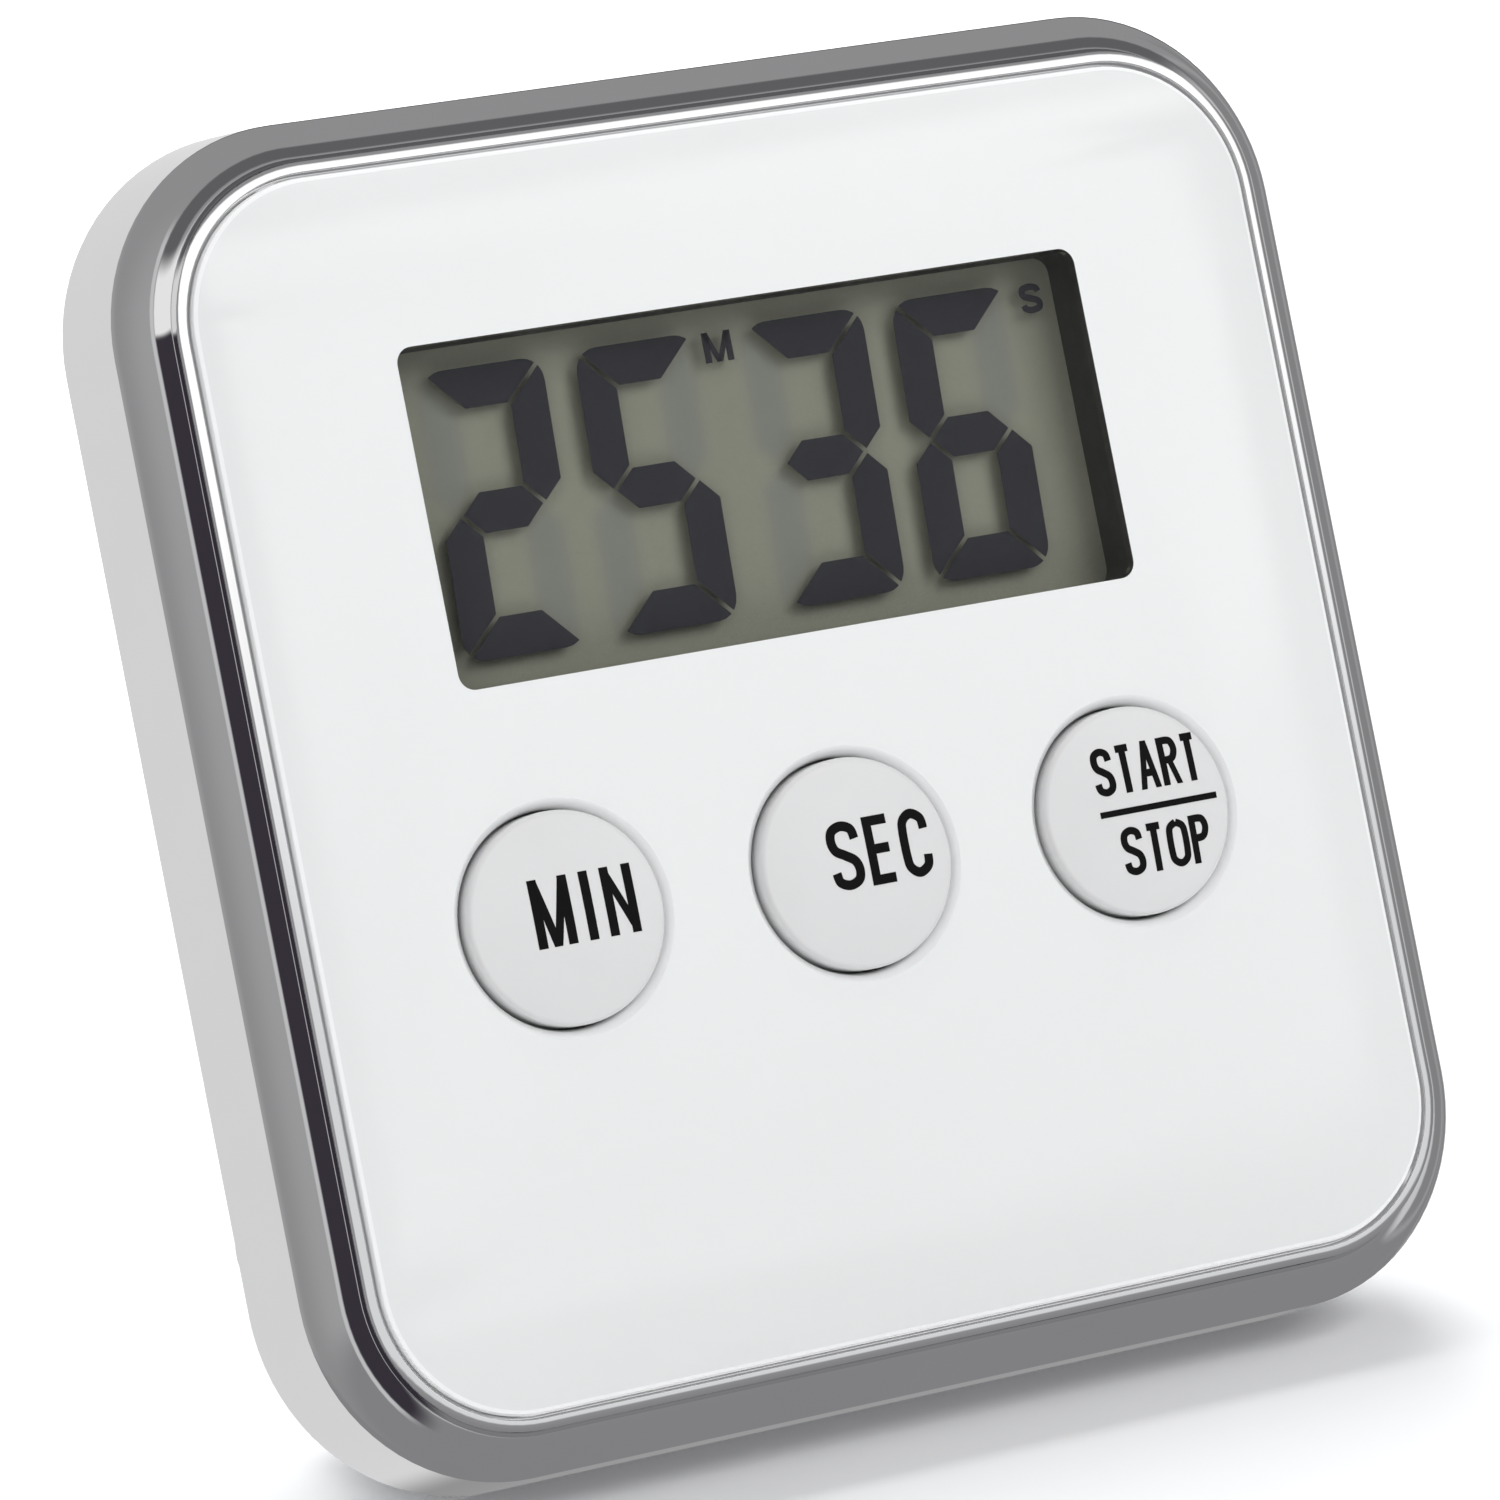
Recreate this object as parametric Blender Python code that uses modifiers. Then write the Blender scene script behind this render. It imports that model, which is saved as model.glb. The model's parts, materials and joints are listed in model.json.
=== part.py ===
"""A square digital countdown timer that stands on a fold-out wire stand.

Every piece is drawn in the timer's own upright frame: X to the right, Y from the front of the
face plate into the case, Z up, with the origin at the centre of the plate's front. The empty
body_frame then leans that frame back and lifts it until the case's lower rim and the stand's
foot rest on the floor, Z = 0. The stand is drawn folded and then swung open to the floor.
"""

import math

import bmesh
import bpy
from mathutils import Matrix, Vector

MM = 0.001

# Driving dimensions.
LEAN = math.radians(24)
PLATE_HALF = (31.25 * MM, 32.25 * MM)
PLATE_RADIUS = 7.7 * MM
PLATE_THICK = 1.2 * MM
PLATE_BEVEL = 0.3 * MM
CASE_DEPTH = 16.9 * MM
SHEET_GAP = 0.15 * MM
GAP = 0.3 * MM
CORNER_STEPS = 8

# The chrome shell's section, as offsets outside the plate's edge and depths behind its front.
LIP_GAP = 0.2 * MM
LIP_DEPTH = 0.2 * MM
LIP_WIDTH = 0.6 * MM
LIP_EDGE = 0.15 * MM
LIP_CHAMFER = 0.12 * MM
CREASE_OFFSET = 3.15 * MM
CREASE_DEPTH = 3.0 * MM
RIM_OFFSET = 3.75 * MM
RIM_DEPTH = 8.8 * MM
RIM_EDGE = 0.2 * MM
SHELL_WALL = 1.45 * MM
RIM_FOOT = (RIM_DEPTH - RIM_EDGE, -(PLATE_HALF[1] + RIM_OFFSET))
SEAT_FRONT = 1.7 * MM
SEAT_BACK = 3.3 * MM
COVE_STEPS = 6
BOARD_BOSS_RADIUS = 1.5 * MM
BOARD_PILOT_RADIUS = 0.8 * MM

# The display.
WINDOW_CENTRE = (-0.2 * MM, 13.75 * MM)
WINDOW_SIZE = (40.4 * MM, 18.0 * MM)
WINDOW_RADIUS = 0.9 * MM
PRINT_FRONT = PLATE_THICK + SHEET_GAP
PRINT_THICK = 0.2 * MM
PRINT_INSET = 0.6 * MM
GLASS_SIZE = (45.4 * MM, 23.0 * MM)
GLASS_FRONT = 2.25 * MM
GLASS_THICK = 2.0 * MM
FRAME_FRONT = SEAT_BACK + GAP
FRAME_BACK = 7.6 * MM

# The push buttons.
BUTTON_PITCH = 17.1 * MM
BUTTON_ROW = -7.6 * MM
BUTTON_RADIUS = 5.6 * MM
BUTTON_HOLE = 5.9 * MM
BUTTON_PROUD = 0.35 * MM
BUTTON_DOME = 0.25 * MM
BUTTON_FLANGE = 6.35 * MM
BUTTON_TRAVEL = 0.8 * MM
HOLE_CHAMFER = 0.35 * MM
STEM_BACK = 5.2 * MM
STEM_RADIUS = 2.6 * MM

# The circuit board and what it carries.
BOARD_FRONT = 7.9 * MM
BOARD_THICK = 1.0 * MM
BOARD_BACK = BOARD_FRONT + BOARD_THICK
BOARD_HALF_X = 22.9 * MM
BOARD_LOW = -13.6 * MM
BOARD_HIGH = 31.0 * MM
BOARD_SCREWS = ((-8.55 * MM, -10.6 * MM), (8.55 * MM, -10.6 * MM), (0.0, 29.2 * MM))
BOARD_SCREW_HOLE = 1.0 * MM
RESIN_PLACE = (6 * MM, 19 * MM)
CRYSTAL_Z = 26 * MM
COIL_PLACE = (-14 * MM, 18.5 * MM)
CAPACITOR_LOW = (14 * MM, 8.5 * MM)
MAT_FRONT = 7.1 * MM
MAT_BACK = 7.6 * MM
DOME_TOP = STEM_BACK + BUTTON_TRAVEL + GAP

# The rear cover and its screws.
COVER_FRONT = 8.0 * MM
COVER_OFFSET = 1.85 * MM
COVER_BACK_OFFSET = 0.0
COVER_ROUND = 1.5 * MM
COVER_WALL = 1.5 * MM
COVER_FLOOR = CASE_DEPTH - COVER_WALL
SCREW_PLACES = (
    (-26.5 * MM, 27.3 * MM),
    (26.5 * MM, 27.3 * MM),
    (-26.9 * MM, -7.0 * MM),
    (26.9 * MM, -7.0 * MM),
)
SCREW_SEAT = 12.6 * MM
SCREW_HEAD = 1.65 * MM
SCREW_HEAD_THICK = 1.2 * MM
SCREW_SHANK = 0.8 * MM
BOSS_RADIUS = 2.0 * MM
BOSS_BACK = 8.6 * MM
PILOT_RADIUS = 1.1 * MM

# The battery and its compartment, an R03 cell lying along X.
CELL_RADIUS = 5.25 * MM
CELL_LENGTH = 44.5 * MM
CELL_NUB = 1.0 * MM
CELL_NUB_RADIUS = 1.9 * MM
CELL_CENTRE = (10.2 * MM, -20.4 * MM)
BAY_LEFT = -26.5 * MM
BAY_RIGHT = 23.3 * MM
BAY_HALF_Z = 5.45 * MM
BAY_FRONT = 4.8 * MM
BAY_WALL = 0.8 * MM
BAY_CEILING = 13.2 * MM
DOOR_HALF_X = 22.4 * MM
DOOR_HALF_Z = 5.5 * MM
DOOR_THICK = 1.0 * MM
DOOR_BACK = CASE_DEPTH - 0.1 * MM
CONTACT_THICK = 0.3 * MM
CONTACT_HALF_Y = 3.4 * MM
TAB_HALF_Y = 0.9 * MM
TAB_CENTRE_Y = 10.4 * MM
TAB_TOP = -12.6 * MM
SPRING_TURNS = 3.5
SPRING_RADII = (2.6 * MM, 1.6 * MM)
SPRING_WIRE = 0.25 * MM
LEAD_RADIUS = 0.45 * MM

# The wire stand, folded: its pivots lie on the hinge line.
WIRE_RADIUS = 0.9 * MM
HINGE_Y = 15.7 * MM
HINGE_Z = 8.0 * MM
LEG_X = 24.6 * MM
PIVOT_TIP = 21.0 * MM
FOOT_Z = -28.5 * MM
PIVOT_BEND = 2.0 * MM
FOOT_BEND = 3.5 * MM
GROOVE_HALF = 1.25 * MM
GROOVE_FLOOR = 14.3 * MM
GROOVE_WALL = 0.9 * MM

# The magnets, the buzzer and the vents behind it.
MAGNET_PLACES = (-13.0 * MM, 13.0 * MM)
MAGNET_Z = 22.0 * MM
MAGNET_RADIUS = 5.0 * MM
MAGNET_FRONT = 15.1 * MM
MAGNET_BACK = CASE_DEPTH + 0.1 * MM
BUZZER_Z = 1.0 * MM
BUZZER_RADIUS = 10.0 * MM
BUZZER_FRONT = 13.7 * MM
VENT_RADIUS = 0.75 * MM
VENT_RING = 3.6 * MM

COLOURS = {
    "chrome": ((0.80, 0.80, 0.81), 1.0, 0.06),
    "clear_acrylic": ((0.93, 0.95, 0.96), 0.0, 0.05),
    "white_ink": ((0.83, 0.84, 0.85), 0.0, 0.35),
    "black_foam": ((0.02, 0.02, 0.02), 0.0, 0.95),
    "lcd_glass": ((0.24, 0.25, 0.19), 0.0, 0.15),
    "lcd_reflector": ((0.30, 0.31, 0.24), 0.3, 0.5),
    "black_plastic": ((0.03, 0.03, 0.03), 0.0, 0.5),
    "button_plastic": ((0.72, 0.72, 0.72), 0.0, 0.4),
    "grey_rubber": ((0.45, 0.46, 0.47), 0.0, 0.85),
    "zebra_rubber": ((0.75, 0.45, 0.45), 0.0, 0.8),
    "board_green": ((0.03, 0.18, 0.07), 0.0, 0.4),
    "epoxy_black": ((0.02, 0.02, 0.02), 0.0, 0.35),
    "steel": ((0.62, 0.62, 0.63), 1.0, 0.3),
    "brass": ((0.75, 0.58, 0.28), 1.0, 0.35),
    "ceramic": ((0.80, 0.80, 0.76), 0.0, 0.5),
    "ferrite": ((0.07, 0.07, 0.07), 0.0, 0.6),
    "white_plastic": ((0.78, 0.79, 0.80), 0.0, 0.5),
    "battery_jacket": ((0.10, 0.11, 0.13), 0.2, 0.35),
    "red_insulation": ((0.55, 0.03, 0.02), 0.0, 0.45),
    "black_insulation": ((0.02, 0.02, 0.02), 0.0, 0.45),
}


def leaned_height(y, z):
    """How high a point of the upright frame lies once the frame leans back."""
    return z * math.cos(LEAN) - y * math.sin(LEAN)


def leaned_depth(y, z):
    """How far back a point of the upright frame lies once the frame leans back."""
    return y * math.cos(LEAN) + z * math.sin(LEAN)


def frame_place():
    """Where the plate's centre goes: the rim on the floor, and the case centred front to back."""
    front = leaned_depth(LIP_DEPTH, -(PLATE_HALF[1] + LIP_GAP + LIP_WIDTH - LIP_EDGE))
    back = leaned_depth(COVER_FLOOR, PLATE_HALF[1] + COVER_BACK_OFFSET - COVER_ROUND) + COVER_ROUND
    return (0, -(front + back) / 2, -leaned_height(*RIM_FOOT))


def start_scene():
    """An empty scene, the two collections and the leaning frame that every piece hangs from."""
    for leftover in list(bpy.data.objects):
        bpy.data.objects.remove(leftover, do_unlink=True)
    scene = bpy.context.scene
    parts = bpy.data.collections.new("kitchen_timer")
    cutters = bpy.data.collections.new("cutters")
    scene.collection.children.link(parts)
    scene.collection.children.link(cutters)
    cutters.hide_render = True
    frame = bpy.data.objects.new("body_frame", None)
    parts.objects.link(frame)
    frame.matrix_world = Matrix.Translation(frame_place()) @ Matrix.Rotation(-LEAN, 4, "X")
    return parts, cutters, frame


PARTS, CUTTERS, FRAME = start_scene()


def material(name):
    """The named Principled material, made once."""
    if name in bpy.data.materials:
        return bpy.data.materials[name]
    made = bpy.data.materials.new(name)
    made.use_nodes = True
    colour, metallic, roughness = COLOURS[name]
    shader = made.node_tree.nodes["Principled BSDF"]
    shader.inputs["Base Color"].default_value = (*colour, 1)
    shader.inputs["Metallic"].default_value = metallic
    shader.inputs["Roughness"].default_value = roughness
    made.diffuse_color = (*colour, 1)
    return made


def add_piece(name, mesh, look, smooth=True):
    """A visible piece in the leaning frame. Its mesh is in the upright frame."""
    piece = bpy.data.objects.new(name, mesh)
    PARTS.objects.link(piece)
    piece.parent = FRAME
    mesh.materials.append(material(look))
    if smooth:
        mesh.shade_smooth()
        mesh.set_sharp_from_angle(angle=math.radians(30))
    return piece


def add_helper(name, mesh):
    """A cutter or a shape to be joined, hidden from renders."""
    helper = bpy.data.objects.new(name, mesh)
    CUTTERS.objects.link(helper)
    helper.parent = FRAME
    helper.hide_render = True
    helper.display_type = "WIRE"
    return helper


def apply_boolean(piece, helper, operation):
    modifier = piece.modifiers.new(helper.name, "BOOLEAN")
    modifier.operation = operation
    modifier.solver = "EXACT"
    modifier.object = helper


def cut(piece, mesh):
    apply_boolean(piece, add_helper(f"{piece.name}.cut", mesh), "DIFFERENCE")


def join(piece, mesh):
    apply_boolean(piece, add_helper(f"{piece.name}.join", mesh), "UNION")


def mesh_from(form, name):
    """A bmesh turned into a mesh, with its faces pointing out."""
    bmesh.ops.recalc_face_normals(form, faces=form.faces)
    mesh = bpy.data.meshes.new(name)
    form.to_mesh(mesh)
    form.free()
    return mesh


def box(name, low, high):
    """A box between two corners."""
    low = Vector(low)
    high = Vector(high)
    form = bmesh.new()
    placing = Matrix.Translation((low + high) / 2) @ Matrix.Diagonal((*(high - low), 1))
    bmesh.ops.create_cube(form, size=1, matrix=placing)
    return mesh_from(form, name)


def rounded_box(name, centre, size, radius, front, back, steps=4):
    """A slab facing Y with its four corners rounded; centre and size are its X and Z."""
    form = bmesh.new()
    half_y = (front + back) / 2
    placing = Matrix.Translation((centre[0], half_y, centre[1]))
    placing = placing @ Matrix.Diagonal((size[0], back - front, size[1], 1))
    bmesh.ops.create_cube(form, size=1, matrix=placing)
    corners = [e for e in form.edges if abs((e.verts[0].co - e.verts[1].co).y) > (back - front) / 2]
    bmesh.ops.bevel(form, geom=corners, offset=radius, segments=steps, profile=0.5, affect="EDGES")
    return mesh_from(form, name)


def cylinder(name, centre, radius, start, end, sides=24, axis="Y", end_radius=None):
    """A cylinder or cone along an axis; centre holds the other two coordinates, in XYZ order."""
    form = bmesh.new()
    middle = (start + end) / 2
    tip = radius if end_radius is None else end_radius
    if axis == "Y":
        placing = Matrix.Translation((centre[0], middle, centre[1])) @ Matrix.Rotation(-math.pi / 2, 4, "X")
    else:
        placing = Matrix.Translation((middle, centre[0], centre[1])) @ Matrix.Rotation(math.pi / 2, 4, "Y")
    bmesh.ops.create_cone(
        form, cap_ends=True, segments=sides, radius1=radius, radius2=tip, depth=end - start, matrix=placing
    )
    return mesh_from(form, name)


def outline(offset):
    """The plate's rounded rectangle grown by offset, as (x, z) points in order."""
    radius = PLATE_RADIUS + offset
    centres = ((1, 1, 0), (-1, 1, 90), (-1, -1, 180), (1, -1, 270))
    points = []
    for side_x, side_z, turned in centres:
        middle_x = side_x * (PLATE_HALF[0] - PLATE_RADIUS)
        middle_z = side_z * (PLATE_HALF[1] - PLATE_RADIUS)
        for step in range(CORNER_STEPS + 1):
            angle = math.radians(turned + 90 * step / CORNER_STEPS)
            points.append((middle_x + radius * math.cos(angle), middle_z + radius * math.sin(angle)))
    return points


def rings_solid(name, section):
    """A closed solid through outlines of changing size: section lists (offset, depth) pairs.

    The first and the last outline are capped, so the section runs from one cap to the other.
    """
    form = bmesh.new()
    rings = []
    for offset, depth in section:
        rings.append([form.verts.new((x, depth, z)) for x, z in outline(offset)])
    for ring, following in zip(rings, rings[1:]):
        count = len(ring)
        for index in range(count):
            after = (index + 1) % count
            form.faces.new((ring[index], ring[after], following[after], following[index]))
    form.faces.new(rings[0])
    form.faces.new(rings[-1])
    return mesh_from(form, name)


def turned(name, profile, look, steps=32):
    """A piece turned about its own Z, which faces the front: profile lists (radius, height)."""
    mesh = bpy.data.meshes.new(name)
    points = [(radius, 0, height) for radius, height in profile]
    mesh.from_pydata(points, [(i, i + 1) for i in range(len(points) - 1)], [])
    piece = add_piece(name, mesh, look, smooth=False)
    piece.rotation_euler = (math.pi / 2, 0, 0)
    screw = piece.modifiers.new("turn", "SCREW")
    screw.axis = "Z"
    screw.steps = steps
    screw.render_steps = steps
    screw.use_merge_vertices = True
    screw.merge_threshold = 0.00001
    screw.use_smooth_shade = True
    return piece


def wire(name, points, radius, look, sides=2):
    """A round wire through points, as a mesh with welded caps."""
    curve = bpy.data.curves.new(name, "CURVE")
    curve.dimensions = "3D"
    curve.bevel_depth = radius
    curve.bevel_resolution = sides
    curve.use_fill_caps = True
    spline = curve.splines.new("POLY")
    spline.points.add(len(points) - 1)
    for point, place in zip(spline.points, points):
        point.co = (*place, 1)
    guide = bpy.data.objects.new(name, curve)
    CUTTERS.objects.link(guide)
    graph = bpy.context.evaluated_depsgraph_get()
    mesh = bpy.data.meshes.new_from_object(guide.evaluated_get(graph))
    bpy.data.objects.remove(guide, do_unlink=True)
    form = bmesh.new()
    form.from_mesh(mesh)
    bmesh.ops.remove_doubles(form, verts=form.verts, dist=0.000001)
    bmesh.ops.recalc_face_normals(form, faces=form.faces)
    form.to_mesh(mesh)
    form.free()
    mesh.materials.clear()
    return add_piece(name, mesh, look)


def smooth_route(corners, spacing=0.8 * MM):
    """Points a fixed step apart along a Catmull-Rom curve through corners."""
    ends = [corners[0], *corners, corners[-1]]
    places = [Vector(place) for place in ends]
    route = []
    for before, start, end, after in zip(places, places[1:], places[2:], places[3:]):
        steps = max(2, round((end - start).length / spacing))
        for step in range(steps):
            t = step / steps
            linear = (end - before) * t
            square = (2 * before - 5 * start + 4 * end - after) * t * t
            cubic = (3 * start - before - 3 * end + after) * t * t * t
            route.append((2 * start + linear + square + cubic) / 2)
    route.append(places[-1])
    return route


def arc(centre, radius, start, end, steps):
    """Points of an arc in the X-Z plane, angles in degrees."""
    points = []
    for step in range(steps + 1):
        angle = math.radians(start + (end - start) * step / steps)
        points.append((centre[0] + radius * math.cos(angle), 0, centre[1] + radius * math.sin(angle)))
    return points


def button_xs():
    return (-BUTTON_PITCH, 0.0, BUTTON_PITCH)


def make_face_plate():
    """The clear plate: bevelled in front, with a chamfered hole for each button."""
    section = (
        (-PLATE_BEVEL, 0.0),
        (0.0, PLATE_BEVEL),
        (0.0, PLATE_THICK),
    )
    plate = add_piece("face_plate", rings_solid("face_plate", section), "clear_acrylic")
    for x in button_xs():
        cut(plate, cylinder("hole", (x, BUTTON_ROW), BUTTON_HOLE, -MM, PLATE_THICK + MM, 40))
        wide = BUTTON_HOLE + 2 * HOLE_CHAMFER
        place = (x, BUTTON_ROW)
        cut(plate, cylinder("chamfer", place, wide, -HOLE_CHAMFER, HOLE_CHAMFER, 40, end_radius=BUTTON_HOLE))


def make_face_print():
    """The white layer behind the plate, open over the display and the buttons."""
    section = ((-PRINT_INSET, PRINT_FRONT), (-PRINT_INSET, PRINT_FRONT + PRINT_THICK))
    layer = add_piece("face_print", rings_solid("face_print", section), "white_ink")
    cut(layer, rounded_box("window", WINDOW_CENTRE, WINDOW_SIZE, WINDOW_RADIUS, MM, 2 * MM))
    for x in button_xs():
        cut(layer, cylinder("hole", (x, BUTTON_ROW), BUTTON_HOLE + 0.1 * MM, MM, 2 * MM, 40))


def cove_section():
    """The scoop from the lip down to the crease, a quarter ellipse that leaves the lip steeply."""
    start = LIP_GAP + LIP_WIDTH
    width = CREASE_OFFSET - start
    top = LIP_DEPTH + LIP_EDGE
    depth = CREASE_DEPTH - top
    points = []
    for step in range(COVE_STEPS + 1):
        angle = math.pi / 2 * (1 - step / COVE_STEPS)
        points.append((CREASE_OFFSET - width * math.sin(angle), top + depth * math.cos(angle)))
    return points


def make_chrome_shell():
    """The plated front housing: a seat for the plate, its raised lip, the scooped frame and the side."""
    inner = RIM_OFFSET - SHELL_WALL
    section = [
        (LIP_GAP, SEAT_FRONT),
        (LIP_GAP, LIP_DEPTH + LIP_CHAMFER),
        (LIP_GAP + LIP_CHAMFER, LIP_DEPTH),
        (LIP_GAP + LIP_WIDTH - LIP_EDGE, LIP_DEPTH),
        *cove_section(),
        (CREASE_OFFSET + LIP_CHAMFER, CREASE_DEPTH + LIP_EDGE),
        (RIM_OFFSET, RIM_DEPTH - RIM_EDGE),
        (RIM_OFFSET - RIM_EDGE, RIM_DEPTH),
        (inner, RIM_DEPTH),
        (inner - 0.4 * MM, CREASE_DEPTH + 1.6 * MM),
        (LIP_GAP, SEAT_BACK),
    ]
    shell = add_piece("chrome_shell", rings_solid("chrome_shell", section), "chrome")
    for x, z in SCREW_PLACES:
        join(shell, cylinder("boss", (x, z), BOSS_RADIUS, SEAT_BACK - MM, BOSS_BACK, 20))
    for x, z in BOARD_SCREWS:
        join(shell, cylinder("board_boss", (x, z), BOARD_BOSS_RADIUS, SEAT_BACK - MM, FRAME_BACK, 16))
    opening = (GLASS_SIZE[0] + 2 * GAP, GLASS_SIZE[1] + 2 * GAP)
    cut(shell, rounded_box("display", WINDOW_CENTRE, opening, 0.5 * MM, MM, 4 * MM, 2))
    for x in button_xs():
        cut(shell, cylinder("button", (x, BUTTON_ROW), BUTTON_HOLE, MM, 4 * MM, 32))
    for x, z in SCREW_PLACES:
        cut(shell, cylinder("pilot", (x, z), PILOT_RADIUS, SEAT_BACK + 0.6 * MM, BOSS_BACK + MM, 16))
    for x, z in BOARD_SCREWS:
        pilot = cylinder("board_pilot", (x, z), BOARD_PILOT_RADIUS, SEAT_BACK + 0.4 * MM, FRAME_BACK + MM, 12)
        cut(shell, pilot)


def make_display():
    """Gasket, glass cell, reflector, frame and the rubber strip that joins the glass to the board."""
    gasket_front = PRINT_FRONT + PRINT_THICK + SHEET_GAP
    gasket_back = GLASS_FRONT - SHEET_GAP
    foam = rounded_box("lcd_gasket", WINDOW_CENTRE, GLASS_SIZE, 0.5 * MM, gasket_front, gasket_back, 2)
    gasket = add_piece("lcd_gasket", foam, "black_foam")
    inside = (WINDOW_SIZE[0] + 0.4 * MM, WINDOW_SIZE[1] + 0.4 * MM)
    cut(gasket, rounded_box("inside", WINDOW_CENTRE, inside, WINDOW_RADIUS, MM, 3 * MM))
    glass_back = GLASS_FRONT + GLASS_THICK
    glass = rounded_box("lcd_glass", WINDOW_CENTRE, GLASS_SIZE, 0.3 * MM, GLASS_FRONT, glass_back, 2)
    add_piece("lcd_glass", glass, "lcd_glass")
    ledge = 2.9 * MM
    centre = (WINDOW_CENTRE[0], WINDOW_CENTRE[1] + ledge / 2)
    foil = (GLASS_SIZE[0] - MM, GLASS_SIZE[1] - ledge)
    foil_front = glass_back + SHEET_GAP
    reflector = rounded_box("lcd_reflector", centre, foil, 0.3 * MM, foil_front, foil_front + 0.15 * MM, 2)
    add_piece("lcd_reflector", reflector, "lcd_reflector")
    outer = (GLASS_SIZE[0] + 2.6 * MM, GLASS_SIZE[1] + 3.2 * MM)
    slab = rounded_box("lcd_frame", WINDOW_CENTRE, outer, MM, FRAME_FRONT, FRAME_BACK, 2)
    frame = add_piece("lcd_frame", slab, "black_plastic")
    pocket = (GLASS_SIZE[0] + GAP, GLASS_SIZE[1] + GAP)
    cut(frame, rounded_box("pocket", WINDOW_CENTRE, pocket, 0.4 * MM, 3 * MM, 9 * MM, 2))
    strip_low = WINDOW_CENTRE[1] - GLASS_SIZE[1] / 2 + 0.3 * MM
    zebra = box(
        "zebra_strip",
        (WINDOW_CENTRE[0] - 20 * MM, glass_back + SHEET_GAP, strip_low),
        (WINDOW_CENTRE[0] + 20 * MM, BOARD_FRONT - SHEET_GAP, strip_low + 2.2 * MM),
    )
    add_piece("zebra_strip", zebra, "zebra_rubber", smooth=False)


def make_buttons():
    """Three caps with a flange behind the seat and a stem over the rubber domes."""
    for name, x in zip(("button_min", "button_sec", "button_start_stop"), button_xs()):
        edge = 0.35 * MM
        flange_front = SEAT_BACK + GAP
        profile = (
            (0.0, BUTTON_PROUD + BUTTON_DOME),
            (BUTTON_RADIUS * 0.35, BUTTON_PROUD + BUTTON_DOME * 0.88),
            (BUTTON_RADIUS * 0.7, BUTTON_PROUD + BUTTON_DOME * 0.52),
            (BUTTON_RADIUS - edge, BUTTON_PROUD),
            (BUTTON_RADIUS - edge * 0.3, BUTTON_PROUD - edge * 0.3),
            (BUTTON_RADIUS, BUTTON_PROUD - edge),
            (BUTTON_RADIUS, -flange_front),
            (BUTTON_FLANGE, -flange_front),
            (BUTTON_FLANGE, -flange_front - 0.7 * MM),
            (STEM_RADIUS, -flange_front - 0.7 * MM),
            (STEM_RADIUS, -STEM_BACK),
            (0.0, -STEM_BACK),
        )
        cap = turned(name, profile, "button_plastic", 32)
        cap.location = (x, 0, BUTTON_ROW)


def make_keypad():
    """The silicone mat: a thin web with a dome under each button."""
    web = rounded_box("keypad_mat", (0, -7.35 * MM), (45 * MM, 11.7 * MM), 2 * MM, MAT_FRONT, MAT_BACK, 3)
    mat = add_piece("keypad_mat", web, "grey_rubber")
    for x in button_xs():
        place = (x, BUTTON_ROW)
        join(mat, cylinder("dome", place, 2.8 * MM, DOME_TOP, MAT_BACK - 0.1 * MM, 24, end_radius=4.4 * MM))
    for x, z in BOARD_SCREWS[:2]:
        cut(mat, cylinder("boss_hole", (x, z), 1.9 * MM, 6 * MM, 9 * MM, 16))


def make_board():
    """The board with its chip under a drop of resin, crystal, coil, capacitor and three screws."""
    middle = (0, (BOARD_LOW + BOARD_HIGH) / 2)
    size = (2 * BOARD_HALF_X, BOARD_HIGH - BOARD_LOW)
    sheet = rounded_box("circuit_board", middle, size, 1.5 * MM, BOARD_FRONT, BOARD_BACK, 3)
    board = add_piece("circuit_board", sheet, "board_green")
    for x, z in BOARD_SCREWS:
        cut(board, cylinder("screw_hole", (x, z), BOARD_SCREW_HOLE, 7 * MM, 10 * MM, 12))
    for number, (x, z) in enumerate(BOARD_SCREWS, 1):
        profile = (
            (0.0, -BOARD_BACK + 4.3 * MM),
            (0.5 * MM, -BOARD_BACK + 4.3 * MM),
            (0.5 * MM, -BOARD_BACK - 0.2 * MM),
            (1.5 * MM, -BOARD_BACK - 0.2 * MM),
            (1.3 * MM, -BOARD_BACK - MM),
            (0.0, -BOARD_BACK - 1.15 * MM),
        )
        screw = turned(f"board_screw_{number}", profile, "steel", 16)
        screw.location = (x, 0, z)
    rise = BOARD_BACK + SHEET_GAP
    dome = (
        (0.0, -rise),
        (5.0 * MM, -rise),
        (4.9 * MM, -rise - 0.4 * MM),
        (3.8 * MM, -rise - 1.0 * MM),
        (2.0 * MM, -rise - 1.3 * MM),
        (0.0, -rise - 1.4 * MM),
    )
    drop = turned("chip_resin", dome, "epoxy_black", 24)
    drop.location = (RESIN_PLACE[0], 0, RESIN_PLACE[1])
    can = cylinder("quartz_crystal", (rise + MM, CRYSTAL_Z), 0.95 * MM, -9 * MM, -3 * MM, 16, "X")
    add_piece("quartz_crystal", can, "steel")
    core = cylinder("buzzer_coil", COIL_PLACE, 3 * MM, rise, rise + 3 * MM, 20)
    coil = add_piece("buzzer_coil", core, "ferrite")
    join(coil, cylinder("waist", COIL_PLACE, 3.4 * MM, rise + 0.7 * MM, rise + 2.3 * MM, 20))
    low = Vector((CAPACITOR_LOW[0], rise, CAPACITOR_LOW[1]))
    high = low + Vector((3.2 * MM, 1.6 * MM, 1.6 * MM))
    add_piece("capacitor", box("capacitor", low, high), "ceramic", smooth=False)


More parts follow.
